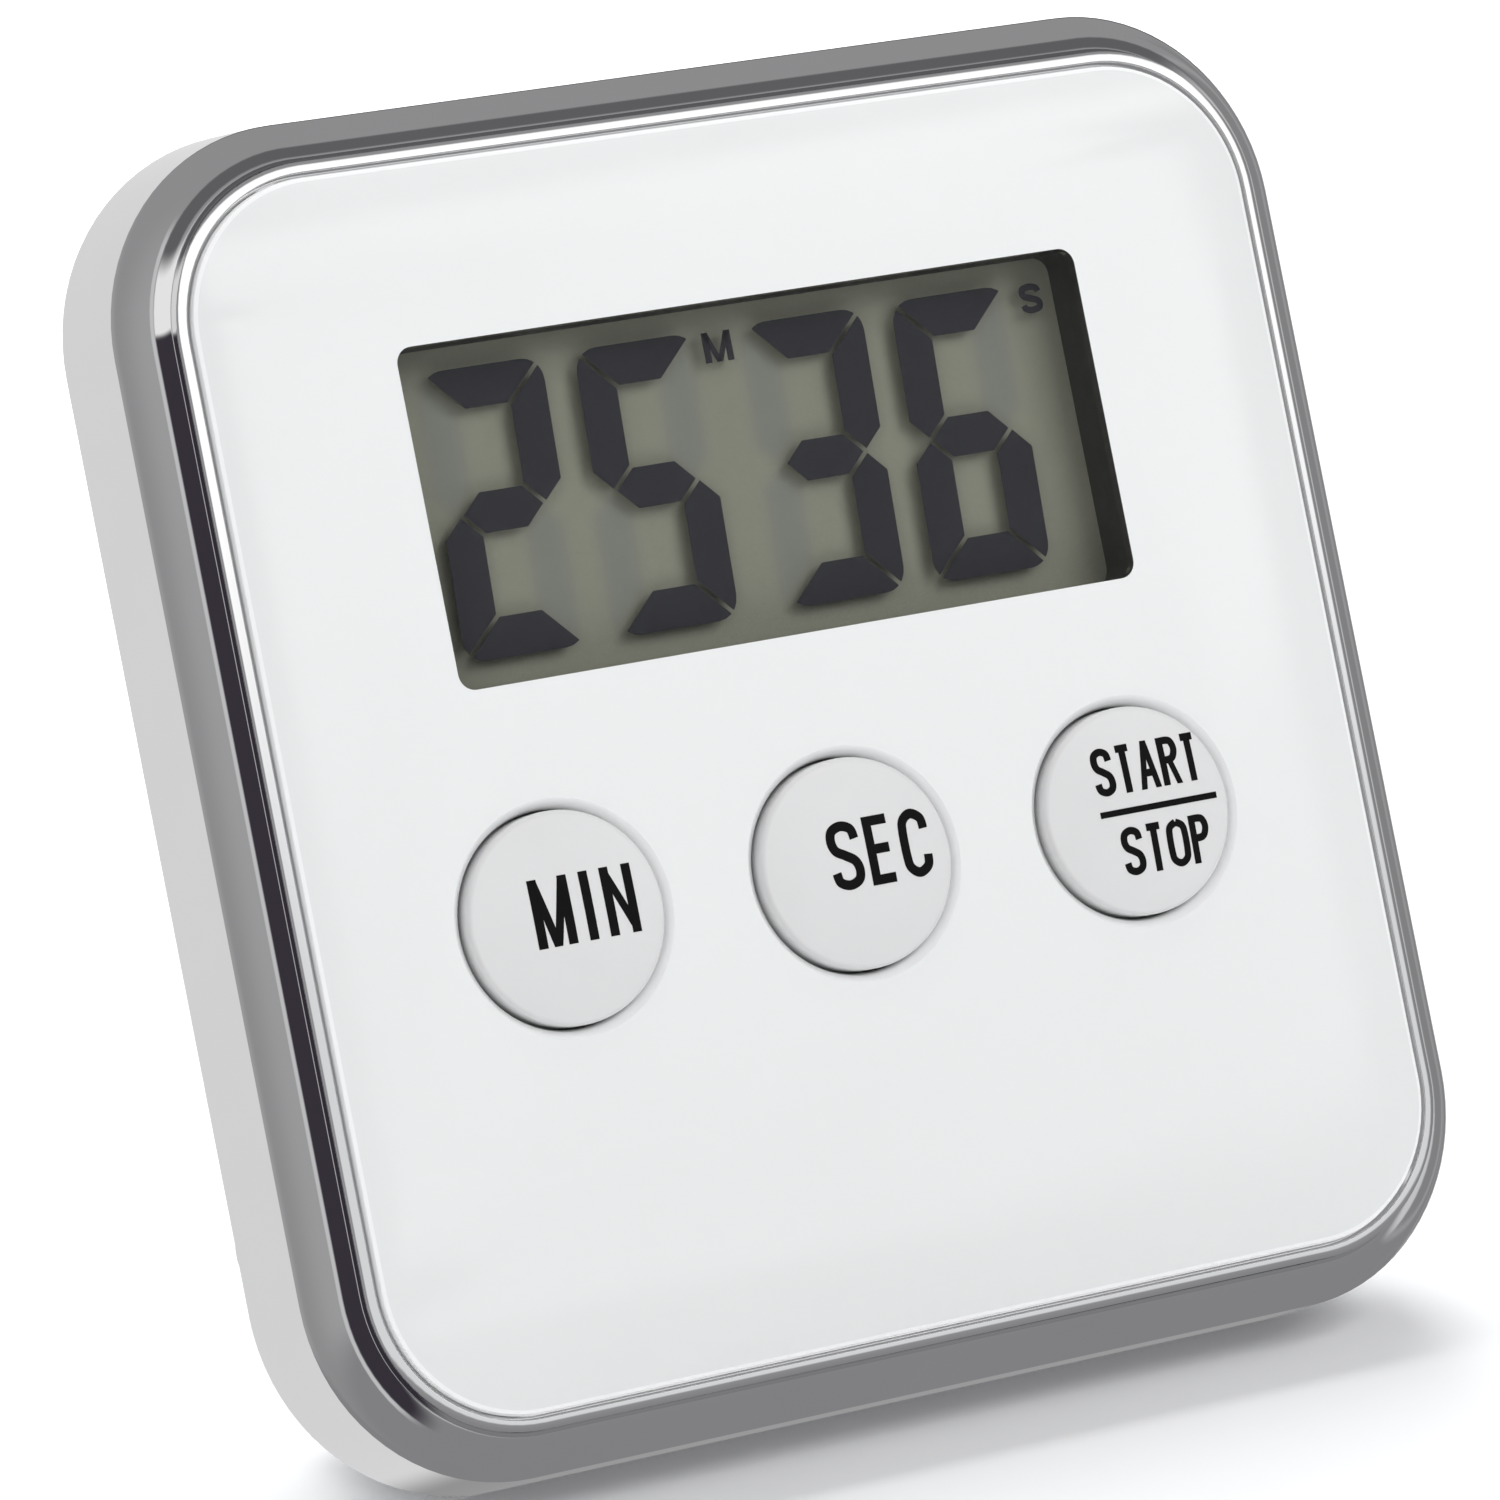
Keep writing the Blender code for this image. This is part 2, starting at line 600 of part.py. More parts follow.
def stand_band(name, half, front, back):
    """A slab that follows the folded stand's U, half a width to each side of the wire."""
    form = bmesh.new()
    top = HINGE_Z + half
    low = FOOT_Z + FOOT_BEND
    side = LEG_X - FOOT_BEND
    right = [(LEG_X + half, 0, top), *arc((side, low), FOOT_BEND + half, 0, -90, 6)]
    inner = [(LEG_X - half, 0, top), *arc((side, low), FOOT_BEND - half, 0, -90, 6)]
    ends = right + [(-x, y, z) for x, y, z in reversed(right)]
    ends += [(-x, y, z) for x, y, z in inner] + list(reversed(inner))
    face = form.faces.new([form.verts.new((x, front, z)) for x, y, z in ends])
    grown = bmesh.ops.extrude_face_region(form, geom=[face])
    bmesh.ops.translate(
        form, vec=(0, back - front, 0), verts=[v for v in grown["geom"] if isinstance(v, bmesh.types.BMVert)]
    )
    return mesh_from(form, name)


def pivot_pockets():
    """Room for the wire's bends beside the hinge line."""
    for side in (-1, 1):
        ends = sorted((side * (LEG_X - PIVOT_BEND - GAP), side * LEG_X))
        low = (ends[0], GROOVE_FLOOR, HINGE_Z - PIVOT_BEND - GAP)
        yield box("pocket", low, (ends[1], CASE_DEPTH + MM, HINGE_Z + GROOVE_HALF - 0.2 * MM))


def make_rear_cover():
    """The rear cover: a tapered tray with the battery bay, screw posts, magnet cups and buzzer ring."""
    taper = (COVER_OFFSET - COVER_BACK_OFFSET) / (COVER_FLOOR - COVER_FRONT)
    rounding = []
    for step in range(1, 5):
        angle = math.pi / 2 * step / 4
        offset = COVER_BACK_OFFSET - COVER_ROUND * (1 - math.cos(angle))
        rounding.append((offset, COVER_FLOOR + COVER_ROUND * math.sin(angle)))
    section = [
        (COVER_BACK_OFFSET - COVER_WALL, COVER_FLOOR),
        (COVER_OFFSET - COVER_WALL - taper * MM, COVER_FRONT),
        (COVER_OFFSET, COVER_FRONT),
        (COVER_BACK_OFFSET, COVER_FLOOR),
        *rounding,
    ]
    cover = add_piece("rear_cover", rings_solid("rear_cover", section), "white_plastic")
    low_z = CELL_CENTRE[1] - BAY_HALF_Z
    high_z = CELL_CENTRE[1] + BAY_HALF_Z
    bay_low = (BAY_LEFT - BAY_WALL, BAY_FRONT - BAY_WALL, low_z - BAY_WALL)
    inside = COVER_FLOOR + 0.5 * MM
    bay_high = (BAY_RIGHT + BAY_WALL, inside, high_z + 0.65 * MM)
    join(cover, box("bay", bay_low, bay_high))
    join(cover, stand_band("walls", GROOVE_HALF + GROOVE_WALL, GROOVE_FLOOR - GROOVE_WALL, inside))
    for side in (-1, 1):
        ends = sorted((side * (PIVOT_TIP - GAP - GROOVE_WALL), side * (LEG_X - GROOVE_HALF)))
        block_low = (ends[0], GROOVE_FLOOR - 0.7 * MM, HINGE_Z - WIRE_RADIUS - GROOVE_WALL)
        join(cover, box("pivot_block", block_low, (ends[1], inside, HINGE_Z + WIRE_RADIUS + GROOVE_WALL)))
    for x, z in SCREW_PLACES:
        join(cover, cylinder("post", (x, z), 2.9 * MM, BOSS_BACK + GAP, inside, 20))
    for x in MAGNET_PLACES:
        cup = MAGNET_FRONT - 1.1 * MM
        join(cover, cylinder("cup", (x, MAGNET_Z), MAGNET_RADIUS + 1.2 * MM, cup, inside, 32))
    buzzer = (0, BUZZER_Z)
    seat = BUZZER_FRONT + 0.5 * MM
    join(cover, cylinder("ring", buzzer, BUZZER_RADIUS + 1.2 * MM, BUZZER_FRONT - MM, inside, 32))
    cut(cover, cylinder("buzzer_seat", buzzer, BUZZER_RADIUS + 0.2 * MM, 8 * MM, seat, 32))
    cut(cover, cylinder("sound", buzzer, BUZZER_RADIUS - MM, BUZZER_FRONT, COVER_FLOOR, 32))
    cut(cover, box("bay_room", (BAY_LEFT, BAY_FRONT, low_z), (BAY_RIGHT, BAY_CEILING, high_z)))
    door_z = DOOR_HALF_Z + 0.2 * MM
    door_x = DOOR_HALF_X + 0.2 * MM
    way_in = (-door_x, BAY_CEILING - MM, CELL_CENTRE[1] - door_z)
    cut(cover, box("doorway", way_in, (door_x, CASE_DEPTH + MM, CELL_CENTRE[1] + door_z)))
    cut(cover, stand_band("groove", GROOVE_HALF, GROOVE_FLOOR, CASE_DEPTH + MM))
    for mesh in pivot_pockets():
        cut(cover, mesh)
    for side in (-1, 1):
        reach = sorted((side * (PIVOT_TIP - GAP), side * LEG_X))
        cut(cover, cylinder("pivot", (HINGE_Y, HINGE_Z), WIRE_RADIUS + 0.1 * MM, *reach, 20, "X"))
    for x, z in SCREW_PLACES:
        cut(cover, cylinder("head", (x, z), SCREW_HEAD + 0.35 * MM, SCREW_SEAT, CASE_DEPTH + MM, 24))
        cut(cover, cylinder("shank", (x, z), PILOT_RADIUS, 8 * MM, SCREW_SEAT + MM, 16))
    for x in MAGNET_PLACES:
        pocket = MAGNET_FRONT - 0.2 * MM
        cut(cover, cylinder("magnet", (x, MAGNET_Z), MAGNET_RADIUS + 0.2 * MM, pocket, CASE_DEPTH + MM, 32))
    cut(cover, cylinder("vent", buzzer, VENT_RADIUS, 14 * MM, CASE_DEPTH + MM, 12))
    for turn in range(6):
        angle = math.radians(60 * turn)
        place = (VENT_RING * math.cos(angle), BUZZER_Z + VENT_RING * math.sin(angle))
        cut(cover, cylinder("vent", place, VENT_RADIUS, 14 * MM, CASE_DEPTH + MM, 12))
    for x in (BAY_LEFT + 0.1 * MM, BAY_RIGHT - 0.7 * MM):
        slot_low = (x, TAB_CENTRE_Y - 1.2 * MM, high_z - MM)
        cut(cover, box("tab_slot", slot_low, (x + 0.6 * MM, TAB_CENTRE_Y + 1.2 * MM, high_z + 2 * MM)))


def make_cover_screws():
    """The four screws that hold the cover to the shell's bosses."""
    for number, (x, z) in enumerate(SCREW_PLACES, 1):
        seat = SCREW_SEAT + 0.1 * MM
        profile = (
            (0.0, -4.6 * MM),
            (0.3 * MM, -4.6 * MM),
            (SCREW_SHANK, -5.6 * MM),
            (SCREW_SHANK, -seat),
            (SCREW_HEAD, -seat),
            (SCREW_HEAD, -seat - 0.6 * MM),
            (SCREW_HEAD * 0.7, -seat - SCREW_HEAD_THICK),
            (0.0, -seat - SCREW_HEAD_THICK),
        )
        screw = turned(f"cover_screw_{number}", profile, "steel", 20)
        screw.location = (x, 0, z)


def make_magnets():
    for side, x in zip(("left", "right"), MAGNET_PLACES):
        disc = cylinder("magnet", (x, MAGNET_Z), MAGNET_RADIUS, MAGNET_FRONT, MAGNET_BACK, 40)
        add_piece(f"magnet_{side}", disc, "ferrite")


def make_buzzer():
    """The brass disc in its ring, with the ceramic bonded to its front."""
    disc = cylinder("buzzer_disc", (0, BUZZER_Z), BUZZER_RADIUS, BUZZER_FRONT, BUZZER_FRONT + 0.3 * MM, 32)
    add_piece("buzzer_disc", disc, "brass")
    front = BUZZER_FRONT - SHEET_GAP
    ceramic = cylinder("buzzer_ceramic", (0, BUZZER_Z), 7 * MM, front - 0.2 * MM, front, 32)
    add_piece("buzzer_ceramic", ceramic, "ceramic")


def make_battery():
    """The cell, with its raised positive end at +X."""
    half = CELL_LENGTH / 2
    edge = 0.4 * MM
    profile = (
        (0.0, half),
        (CELL_NUB_RADIUS, half),
        (CELL_NUB_RADIUS, half - CELL_NUB),
        (CELL_RADIUS - edge, half - CELL_NUB),
        (CELL_RADIUS, half - CELL_NUB - edge),
        (CELL_RADIUS, -half + edge),
        (CELL_RADIUS - edge, -half),
        (0.0, -half),
    )
    cell = turned("battery", profile, "battery_jacket", 32)
    cell.rotation_euler = (0, math.pi / 2, 0)
    cell.location = (0, *CELL_CENTRE)


def contact(name, x):
    """A contact plate across the bay, with a solder tab through the bay's upper wall."""
    y, z = CELL_CENTRE
    thick = CONTACT_THICK
    low = (x, y - CONTACT_HALF_Y, z - 4.4 * MM)
    high = (x + thick, y + 2.6 * MM, z + 4.4 * MM)
    plate = add_piece(name, box(name, low, high), "steel", False)
    tab_low = (x, TAB_CENTRE_Y - TAB_HALF_Y, z + 4 * MM)
    join(plate, box("tab", tab_low, (x + thick, TAB_CENTRE_Y + TAB_HALF_Y, TAB_TOP)))


def make_contacts():
    """The two contact plates and the conical spring that presses on the cell's flat end."""
    left = BAY_LEFT + 0.2 * MM
    contact("contact_negative", left)
    contact("contact_positive", BAY_RIGHT - CONTACT_THICK - 0.2 * MM)
    start_x = left + CONTACT_THICK + 0.5 * MM
    end_x = -CELL_LENGTH / 2 - 0.5 * MM
    count = int(SPRING_TURNS * 14)
    points = []
    for step in range(count + 1):
        share = step / count
        angle = math.radians(360 * SPRING_TURNS * share)
        radius = SPRING_RADII[0] + (SPRING_RADII[1] - SPRING_RADII[0]) * share
        along = start_x + (end_x - start_x) * share
        y = CELL_CENTRE[0] + radius * math.cos(angle)
        points.append((along, y, CELL_CENTRE[1] + radius * math.sin(angle)))
    wire("battery_spring", points, SPRING_WIRE, "steel")


def make_battery_door():
    """The door, drawn with its lower edge rounded about the line on which it swings."""
    half = DOOR_THICK / 2
    axis_z = -DOOR_HALF_Z + half
    slab = box("battery_door", (-DOOR_HALF_X, -half, axis_z), (DOOR_HALF_X, half, DOOR_HALF_Z))
    for vertex in slab.vertices:
        vertex.co.z -= axis_z
    door = add_piece("battery_door", slab, "white_plastic")
    round_edge = cylinder("barrel", (0, 0), half, -DOOR_HALF_X, DOOR_HALF_X, 16, "X")
    barrel = add_helper("battery_door.barrel", round_edge)
    notch_low = (-5 * MM, half - 0.45 * MM, 2 * DOOR_HALF_Z - 3.4 * MM)
    notch = add_helper("battery_door.notch", box("notch", notch_low, (5 * MM, MM, 2 * DOOR_HALF_Z - 2.2 * MM)))
    place = (0, DOOR_BACK - half, CELL_CENTRE[1] + axis_z)
    for item in (door, barrel, notch):
        item.location = place
    apply_boolean(door, barrel, "UNION")
    apply_boolean(door, notch, "DIFFERENCE")


def stand_angle():
    """How far the stand swings out for its foot to reach the floor, from the lean and the leg."""
    drop = leaned_height(HINGE_Y, HINGE_Z) - leaned_height(*RIM_FOOT) - WIRE_RADIUS
    leg = HINGE_Z - FOOT_Z
    return LEAN + math.acos(drop / leg)


def make_stand():
    """The wire stand, drawn about its hinge line and swung open to the floor."""
    foot = FOOT_Z - HINGE_Z
    right = [
        (PIVOT_TIP, 0, 0),
        *arc((LEG_X - PIVOT_BEND, -PIVOT_BEND), PIVOT_BEND, 90, 0, 5),
        *arc((LEG_X - FOOT_BEND, foot + FOOT_BEND), FOOT_BEND, 0, -90, 7),
    ]
    left = [(-x, y, z) for x, y, z in reversed(right)]
    stand = wire("wire_stand", right + left, WIRE_RADIUS, "chrome", 3)
    stand.location = (0, HINGE_Y, HINGE_Z)
    stand.rotation_euler = (stand_angle(), 0, 0)


def make_leads():
    """The four short leads, from the contacts and the buzzer to the board."""
    pad_y = BOARD_BACK + LEAD_RADIUS + SHEET_GAP
    tab_z = TAB_TOP + 3 * SHEET_GAP
    right_x = BAY_RIGHT - 0.35 * MM
    left_x = BAY_LEFT + 0.35 * MM
    positive = (
        (right_x, TAB_CENTRE_Y, tab_z),
        (22.3 * MM, 10.7 * MM, -10.7 * MM),
        (20.0 * MM, 10.9 * MM, -6.5 * MM),
        (16.5 * MM, pad_y, -3.0 * MM),
    )
    negative = (
        (left_x, TAB_CENTRE_Y, tab_z),
        (-25.0 * MM, 10.9 * MM, -11.3 * MM),
        (-21.3 * MM, 11.0 * MM, -8.0 * MM),
        (-17.0 * MM, pad_y, -3.0 * MM),
    )
    from_ceramic = (
        (-2.5 * MM, 12.8 * MM, 2.0 * MM),
        (-3.5 * MM, 11.8 * MM, 6.0 * MM),
        (-4.0 * MM, 10.4 * MM, 11.0 * MM),
        (-3.0 * MM, pad_y, 14.0 * MM),
    )
    from_disc = (
        (8.3 * MM, 13.1 * MM, 0.5 * MM),
        (9.5 * MM, 12.0 * MM, 4.0 * MM),
        (9.0 * MM, 10.6 * MM, 9.0 * MM),
        (7.0 * MM, pad_y, 12.0 * MM),
    )
    wire("lead_positive", smooth_route(positive), LEAD_RADIUS, "red_insulation")
    wire("lead_negative", smooth_route(negative), LEAD_RADIUS, "black_insulation")
    wire("lead_buzzer_1", smooth_route(from_ceramic), LEAD_RADIUS, "red_insulation")
    wire("lead_buzzer_2", smooth_route(from_disc), LEAD_RADIUS, "black_insulation")


def main():
    make_face_plate()
    make_face_print()
    make_chrome_shell()
    make_display()
    make_buttons()
    make_keypad()
    make_board()
    make_rear_cover()
    make_cover_screws()
    make_magnets()
    make_buzzer()
    make_battery()
    make_contacts()
    make_battery_door()
    make_stand()
    make_leads()


main()
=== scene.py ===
"""The finished look of the countdown timer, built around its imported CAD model.

Pieces are drawn in the timer's own upright frame, as in the CAD: X to the right, Y from the front of
the face plate into the case, Z up, with the origin at the centre of the plate's front. The matrix
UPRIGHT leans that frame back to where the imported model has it. Lengths are in metres.
"""

import json
import math

import bmesh
import bpy
from mathutils import Matrix, Vector


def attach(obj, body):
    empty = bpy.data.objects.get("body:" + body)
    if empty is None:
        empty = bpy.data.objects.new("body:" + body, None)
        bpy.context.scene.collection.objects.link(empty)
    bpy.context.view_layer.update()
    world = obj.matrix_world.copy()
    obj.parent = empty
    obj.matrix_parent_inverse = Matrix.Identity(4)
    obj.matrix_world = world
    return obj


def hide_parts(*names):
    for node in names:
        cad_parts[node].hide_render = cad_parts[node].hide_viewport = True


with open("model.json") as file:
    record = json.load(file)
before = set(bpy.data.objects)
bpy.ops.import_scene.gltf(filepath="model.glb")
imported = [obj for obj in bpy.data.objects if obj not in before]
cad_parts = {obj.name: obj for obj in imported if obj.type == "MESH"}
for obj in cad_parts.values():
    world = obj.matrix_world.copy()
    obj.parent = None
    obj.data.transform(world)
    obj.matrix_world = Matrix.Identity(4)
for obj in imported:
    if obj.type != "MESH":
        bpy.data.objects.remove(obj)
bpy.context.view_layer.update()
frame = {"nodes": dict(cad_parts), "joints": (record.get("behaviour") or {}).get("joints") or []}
MM = 0.001
JOINTS = {joint["name"]: joint for joint in frame["joints"]}

# The camera, in the upright frame: where it looks, how far it stands and how it is turned.
CAMERA_YAW = math.radians(26.82)
CAMERA_PITCH = math.radians(1.94)
CAMERA_ROLL = math.radians(-11.16)
CAMERA_AIM = Vector((-4.77 * MM, 0, -0.775 * MM))
CAMERA_DISTANCE = 425.8 * MM
CAMERA_LENS = 195.97

# Shapes that a box doesn't give.
PLATE_RADIUS = 7.7 * MM
PLATE_BEVEL = 0.3 * MM
CORNER_STEPS = 20
LIP_GAP = 0.2 * MM
LIP_WIDTH = 0.6 * MM
LIP_TILT = 0.08 * MM
CREASE_OFFSET = 3.15 * MM
CREASE_DEPTH = 3.0 * MM
CREASE_EDGE = (0.09 * MM, 0.09 * MM)
LIP_BEAD = 0.06 * MM
LIP_LEDGE = (0.03 * MM, 0.45 * MM)
RIM_EDGE = 0.2 * MM
COVE_STEPS = 22
COVE_END = math.radians(14)
SEAT_FRONT = 1.7 * MM
SEAT_BACK = 3.3 * MM
SHELL_WALL = 1.45 * MM
BUTTON_HOLE = 5.9 * MM
HOLE_CHAMFER = 0.35 * MM
HOLE_NARROW = 5.72 * MM
WINDOW_SIZE = (40.4 * MM, 18.0 * MM)
WINDOW_RADIUS = 0.9 * MM
COVER_FRONT = 8.0 * MM
COVER_OFFSET = 1.85 * MM
COVER_ROUND = 1.5 * MM
COVER_WALL = 1.5 * MM
DISPLAY_OPENING = (46 * MM, 23.6 * MM)
CAP_RADIUS = 5.6 * MM
CAP_DOME = 0.25 * MM
CAP_EDGE = 0.3 * MM
AXIS_RADIUS = 0.02 * MM
SCREW_POST_FRONT = 8.9 * MM
SCREW_POST_RADIUS = 2.9 * MM
SCREW_SHANK = 0.8 * MM
SCREW_HEAD_THICK = 1.2 * MM
SCREW_RECESS = 2.0 * MM
SCREW_SEAT = 12.6 * MM
BAY_LEFT = -26.5 * MM
BAY_RIGHT = 23.3 * MM
BAY_HALF_Z = 5.45 * MM
BAY_FRONT = 4.8 * MM
BAY_WALL = 0.8 * MM
BAY_CEILING = 13.2 * MM
BUZZER_RADIUS = 10.0 * MM
VENT_RADIUS = 0.75 * MM
VENT_RING = 3.6 * MM

# The wire stand, folded.
WIRE_RADIUS = 0.895 * MM
WIRE_SIDES = 24
HINGE_Y = 15.7 * MM
HINGE_Z = 8.0 * MM
LEG_X = 24.6 * MM
PIVOT_TIP = 21.0 * MM
FOOT_Z = -28.5 * MM
PIVOT_BEND = 2.0 * MM
FOOT_BEND = 3.5 * MM
GROOVE_HALF = 1.25 * MM
GROOVE_FLOOR = 14.3 * MM
GROOVE_WALL = 0.9 * MM

# The display's digits, on a plane behind the window.
DIGIT_PLANE = 2.3 * MM
REFLECTOR_PLANE = 3.0 * MM
DIGIT_HALF_WIDTH = 3.55 * MM
DIGIT_LOW = 6.25 * MM
DIGIT_HIGH = 21.5 * MM
DIGIT_CENTRES = (-15.07 * MM, -6.07 * MM, 4.03 * MM, 12.93 * MM)
DIGIT_STROKE = 2.15 * MM
DIGIT_GAP = 0.24 * MM
DIGIT_CORNER = 1.25 * MM
DIGIT_SLANT = math.tan(math.radians(2.0))
SEGMENTS_ON = ("abged", "afgcd", "abgcd", "afgecd")
SHEET = 0.02 * MM
REFLECTOR_PITCH = 0.3 * MM
REFLECTOR_THICK = 0.15 * MM
UNLIT_EDGE = 0.9 * MM


def upright():
    """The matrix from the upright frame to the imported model's, from a button's travel and the plate."""
    press = Vector(JOINTS["min_button_press"]["axis"])
    lean = Matrix.Rotation(math.atan2(press.z, press.y), 4, "X")
    back = lean.inverted()
    places = [back @ vertex.co for vertex in frame["nodes"]["face_plate"].data.vertices]
    low = [min(place[axis] for place in places) for axis in range(3)]
    high = [max(place[axis] for place in places) for axis in range(3)]
    centre = Vector(((low[0] + high[0]) / 2, low[1], (low[2] + high[2]) / 2))
    return Matrix.Translation(lean @ centre) @ lean


UPRIGHT = upright()
DOWN = UPRIGHT.inverted()


def upright_box(node):
    """A CAD node's lowest and highest corner in the upright frame."""
    places = [DOWN @ vertex.co for vertex in frame["nodes"][node].data.vertices]
    low = Vector([min(place[axis] for place in places) for axis in range(3)])
    high = Vector([max(place[axis] for place in places) for axis in range(3)])
    return low, high


PLATE_LOW, PLATE_HIGH = upright_box("face_plate")
PLATE_HALF = (PLATE_HIGH.x, PLATE_HIGH.z)
SHELL_LOW, SHELL_HIGH = upright_box("chrome_shell")
LIP_DEPTH = SHELL_LOW.y
RIM_OFFSET = SHELL_HIGH.x - PLATE_HALF[0]
RIM_DEPTH = 8.8 * MM
CASE_DEPTH = upright_box("rear_cover")[1].y
GLASS_LOW, GLASS_HIGH = upright_box("lcd_glass")
WINDOW_CENTRE = ((GLASS_LOW.x + GLASS_HIGH.x) / 2, (GLASS_LOW.z + GLASS_HIGH.z) / 2)
BUTTONS = {"min": "button_min", "sec": "button_sec", "start_stop": "button_start_stop"}


def centre_of(node):
    low, high = upright_box(node)
    return (low + high) / 2


# Materials.


def new_material(name):
    made = bpy.data.materials.new(name)
    made.use_nodes = True
    return made, made.node_tree, made.node_tree.nodes["Principled BSDF"]


def set_values(shader, **values):
    for name, value in values.items():
        shader.inputs[name.replace("_", " ")].default_value = value


def coordinates(tree):
    return tree.nodes.new("ShaderNodeTexCoord").outputs["Object"]


def noise(tree, scale, detail=3, roughness=0.5):
    """A noise pattern with scale features to a metre, as a grey value from 0 to 1."""
    texture = tree.nodes.new("ShaderNodeTexNoise")
    texture.inputs["Scale"].default_value = scale
    texture.inputs["Detail"].default_value = detail
    texture.inputs["Roughness"].default_value = roughness
    tree.links.new(coordinates(tree), texture.inputs["Vector"])
    return texture.outputs["Fac"]


def spread(tree, value, low, high, from_low=0.3, from_high=0.7):
    """A grey value stretched to run from low to high."""
    node = tree.nodes.new("ShaderNodeMapRange")
    for name, number in zip(("From Min", "From Max", "To Min", "To Max"), (from_low, from_high, low, high)):
        node.inputs[name].default_value = number
    tree.links.new(value, node.inputs["Value"])
    return node.outputs["Result"]


def blend_colours(tree, factor, first, second):
    node = tree.nodes.new("ShaderNodeMix")
    node.data_type = "RGBA"
    node.inputs[6].default_value = (*first, 1)
    node.inputs[7].default_value = (*second, 1)
    tree.links.new(factor, node.inputs[0])
    return node.outputs[2]


def bump(tree, height, distance, strength=1.0):
    node = tree.nodes.new("ShaderNodeBump")
    node.inputs["Strength"].default_value = strength
    node.inputs["Distance"].default_value = distance
    tree.links.new(height, node.inputs["Height"])
    return node.outputs["Normal"]


def varied(
    name, colour, metallic, roughness, grain=900, grain_depth=0.004 * MM, shade=0.06, coat=0.0, specular=0.5
):
    """A surface whose colour, roughness and height all vary a little, as a moulded or plated one does."""
    made, tree, shader = new_material(name)
    set_values(shader, Metallic=metallic, Coat_Weight=coat, Specular_IOR_Level=specular)
    cloud = noise(tree, grain / 4)
    fine = noise(tree, grain, 4)
    darker = tuple(channel * (1 - shade) for channel in colour)
    lighter = tuple(min(1.0, channel * (1 + shade / 2)) for channel in colour)
    tint = blend_colours(tree, spread(tree, cloud, 0, 1), darker, lighter)
    tree.links.new(tint, shader.inputs["Base Color"])
    tree.links.new(spread(tree, fine, roughness * 0.85, roughness * 1.2), shader.inputs["Roughness"])
    tree.links.new(bump(tree, fine, grain_depth), shader.inputs["Normal"])
    return made


def lens_material():
    """Clear acrylic as a thin pane: what is behind it, under a faint mirror image."""
    made = bpy.data.materials.new("clear_pane")
    made.use_nodes = True
    tree = made.node_tree
    tree.nodes.clear()
    clear = tree.nodes.new("ShaderNodeBsdfTransparent")
    gloss = tree.nodes.new("ShaderNodeBsdfGlossy")
    gloss.inputs["Roughness"].default_value = 0.03
    edge = tree.nodes.new("ShaderNodeFresnel")
    edge.inputs["IOR"].default_value = 1.1
    mix = tree.nodes.new("ShaderNodeMixShader")
    output = tree.nodes.new("ShaderNodeOutputMaterial")
    tree.links.new(edge.outputs[0], mix.inputs[0])
    tree.links.new(clear.outputs[0], mix.inputs[1])
    tree.links.new(gloss.outputs[0], mix.inputs[2])
    tree.links.new(mix.outputs[0], output.inputs[0])
    return made


def reflector_material():
    """The display's grained olive backing, bluer where a dark segment is switched off."""
    made, tree, shader = new_material("olive_reflector")
    set_values(shader, Roughness=0.6)
    grain = spread(tree, noise(tree, 9000, 2), 0, 1)
    olive = blend_colours(tree, grain, (0.218, 0.222, 0.173), (0.252, 0.256, 0.202))
    off = tree.nodes.new("ShaderNodeAttribute")
    off.attribute_name = "off_segment"
    mixed = tree.nodes.new("ShaderNodeMix")
    mixed.data_type = "RGBA"
    mixed.inputs[7].default_value = (0.168, 0.183, 0.170, 1)
    tree.links.new(off.outputs["Fac"], mixed.inputs[0])
    tree.links.new(olive, mixed.inputs[6])
    tree.links.new(mixed.outputs[2], shader.inputs["Base Color"])
    return made


